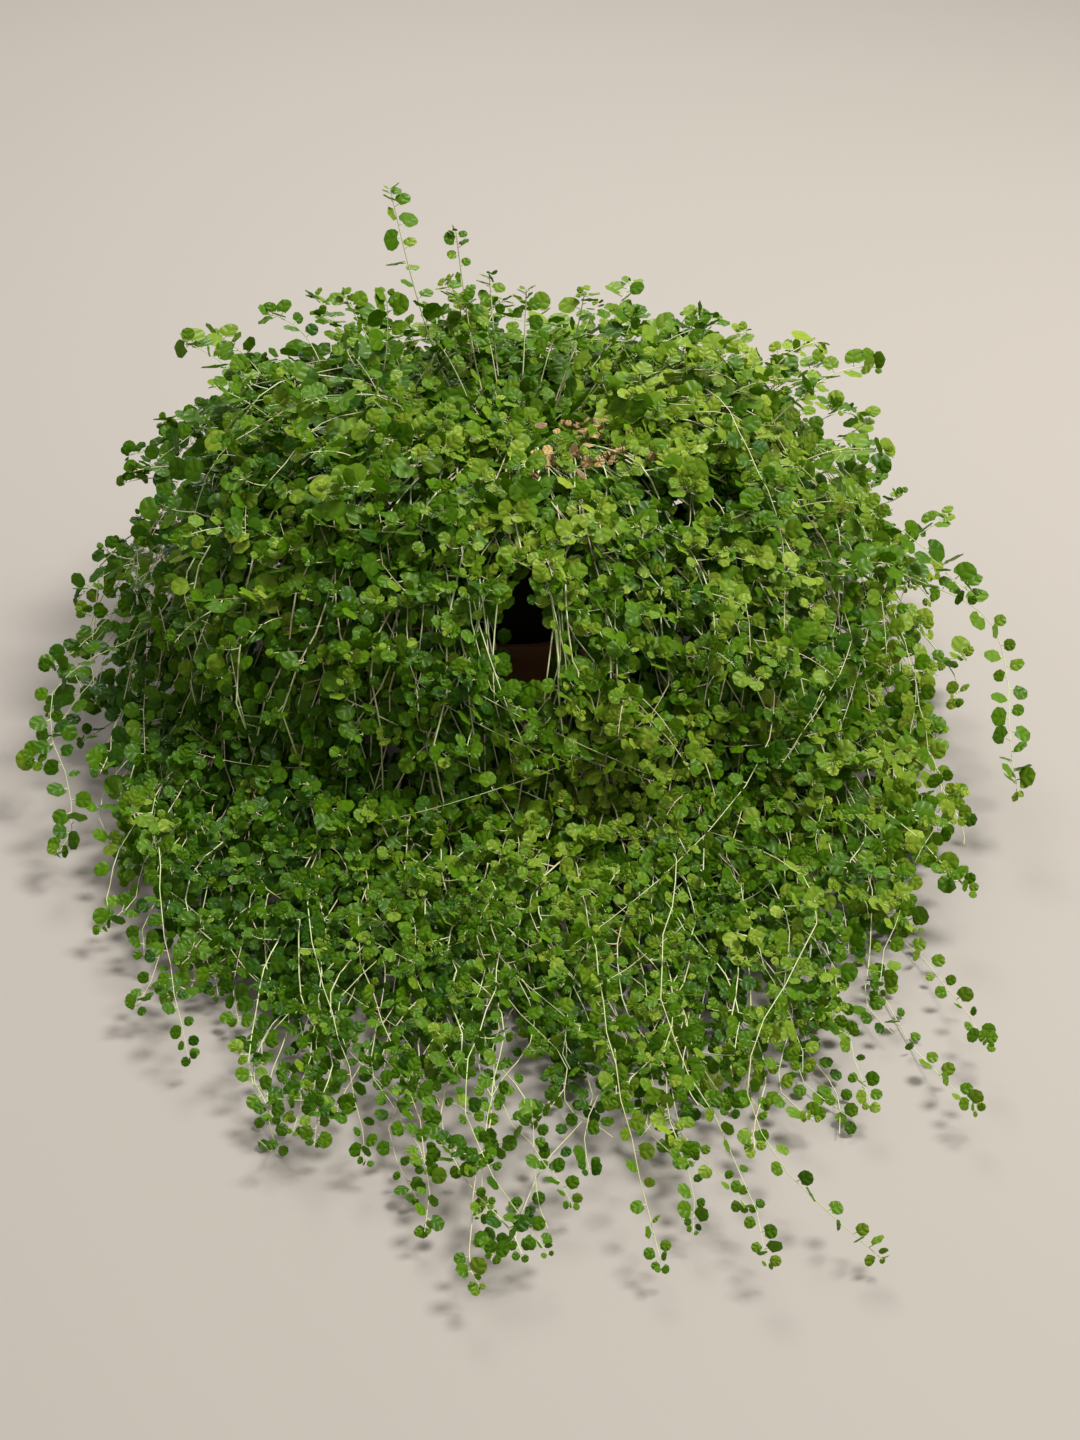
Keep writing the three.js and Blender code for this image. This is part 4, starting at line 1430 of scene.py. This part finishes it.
def soft_lamp(lamp, key_power):
    """A round area light that is turned to the plant"""
    data = bpy.data.lights.new(lamp.name, "AREA")
    data.shape = "DISK"
    data.size = lamp.size
    data.energy = key_power * lamp.share
    holder = linked(lamp.name, data)
    holder.location = lamp.place
    holder.rotation_euler = (LIT_PLACE - Vector(lamp.place)).to_track_quat("-Z", "Y").to_euler()


class VINE_OT_stage(bpy.types.Operator):
    """Make the floor, the light and the camera"""

    bl_idname = "vine.stage"
    bl_label = "Stage"

    def execute(self, context):
        settings = context.scene.vine_stage
        bm = bmesh.new()
        bmesh.ops.create_grid(bm, x_segments=1, y_segments=1, size=FLOOR.half)
        mesh = bpy.data.meshes.new("floor")
        bm.to_mesh(mesh)
        bm.free()
        mesh.materials.append(look(plain_floor, settings))
        floor = linked("floor", mesh)
        floor.location.z = FLOOR.z
        world = bpy.data.worlds.new("room")
        world.use_nodes = True
        background = world.node_tree.nodes["Background"].inputs
        background["Color"].default_value = ROOM_COLOUR
        background["Strength"].default_value = settings.sky
        context.scene.world = world
        context.scene.view_settings.view_transform = "Standard"
        for lamp in LAMPS:
            soft_lamp(lamp, settings.key_power)
        camera = bpy.data.cameras.new("camera")
        camera.lens = CAMERA.lens
        holder = linked("camera", camera)
        holder.location = CAMERA.place * MM
        holder.rotation_euler = (math.radians(90 - CAMERA.down), 0, 0)
        context.scene.camera = holder
        return {"FINISHED"}


class VINE_PT_panel(bpy.types.Panel):
    """Lists the pieces to make and what can be changed about them"""

    bl_idname = "VINE_PT_panel"
    bl_label = "Potted vine"
    bl_space_type = "VIEW_3D"
    bl_region_type = "UI"
    bl_category = "Vine"

    def draw(self, context):
        layout = self.layout
        for settings, operators in (
            (context.scene.vine_foliage, ("vine.trailing", "vine.crown", "vine.litter")),
            (context.scene.vine_holders, ("vine.pot", "vine.saucer", "vine.soil")),
            (context.scene.vine_stage, ("vine.stage",)),
        ):
            box = layout.box()
            for operator in operators:
                box.operator(operator)
            for key in settings.bl_rna.properties.keys():
                if key not in ("rna_type", "name"):
                    box.prop(settings, key)


CLASSES = (
    FoliageSettings, HolderSettings, StageSettings, VINE_OT_saucer, VINE_OT_pot, VINE_OT_soil,
    VINE_OT_trailing, VINE_OT_crown, VINE_OT_litter, VINE_OT_stage, VINE_PT_panel,
)


def register():
    for one in CLASSES:
        bpy.utils.register_class(one)
    bpy.types.Scene.vine_foliage = bpy.props.PointerProperty(type=FoliageSettings)
    bpy.types.Scene.vine_holders = bpy.props.PointerProperty(type=HolderSettings)
    bpy.types.Scene.vine_stage = bpy.props.PointerProperty(type=StageSettings)


def unregister():
    del bpy.types.Scene.vine_stage
    del bpy.types.Scene.vine_holders
    del bpy.types.Scene.vine_foliage
    for one in reversed(CLASSES):
        bpy.utils.unregister_class(one)


def main():
    """Builds everything in order"""
    register()
    bpy.ops.vine.stage()
    bpy.ops.vine.saucer()
    bpy.ops.vine.pot()
    bpy.ops.vine.soil()
    bpy.ops.vine.trailing()
    bpy.ops.vine.crown()
    bpy.ops.vine.litter()


if __name__ == "__main__":
    main()
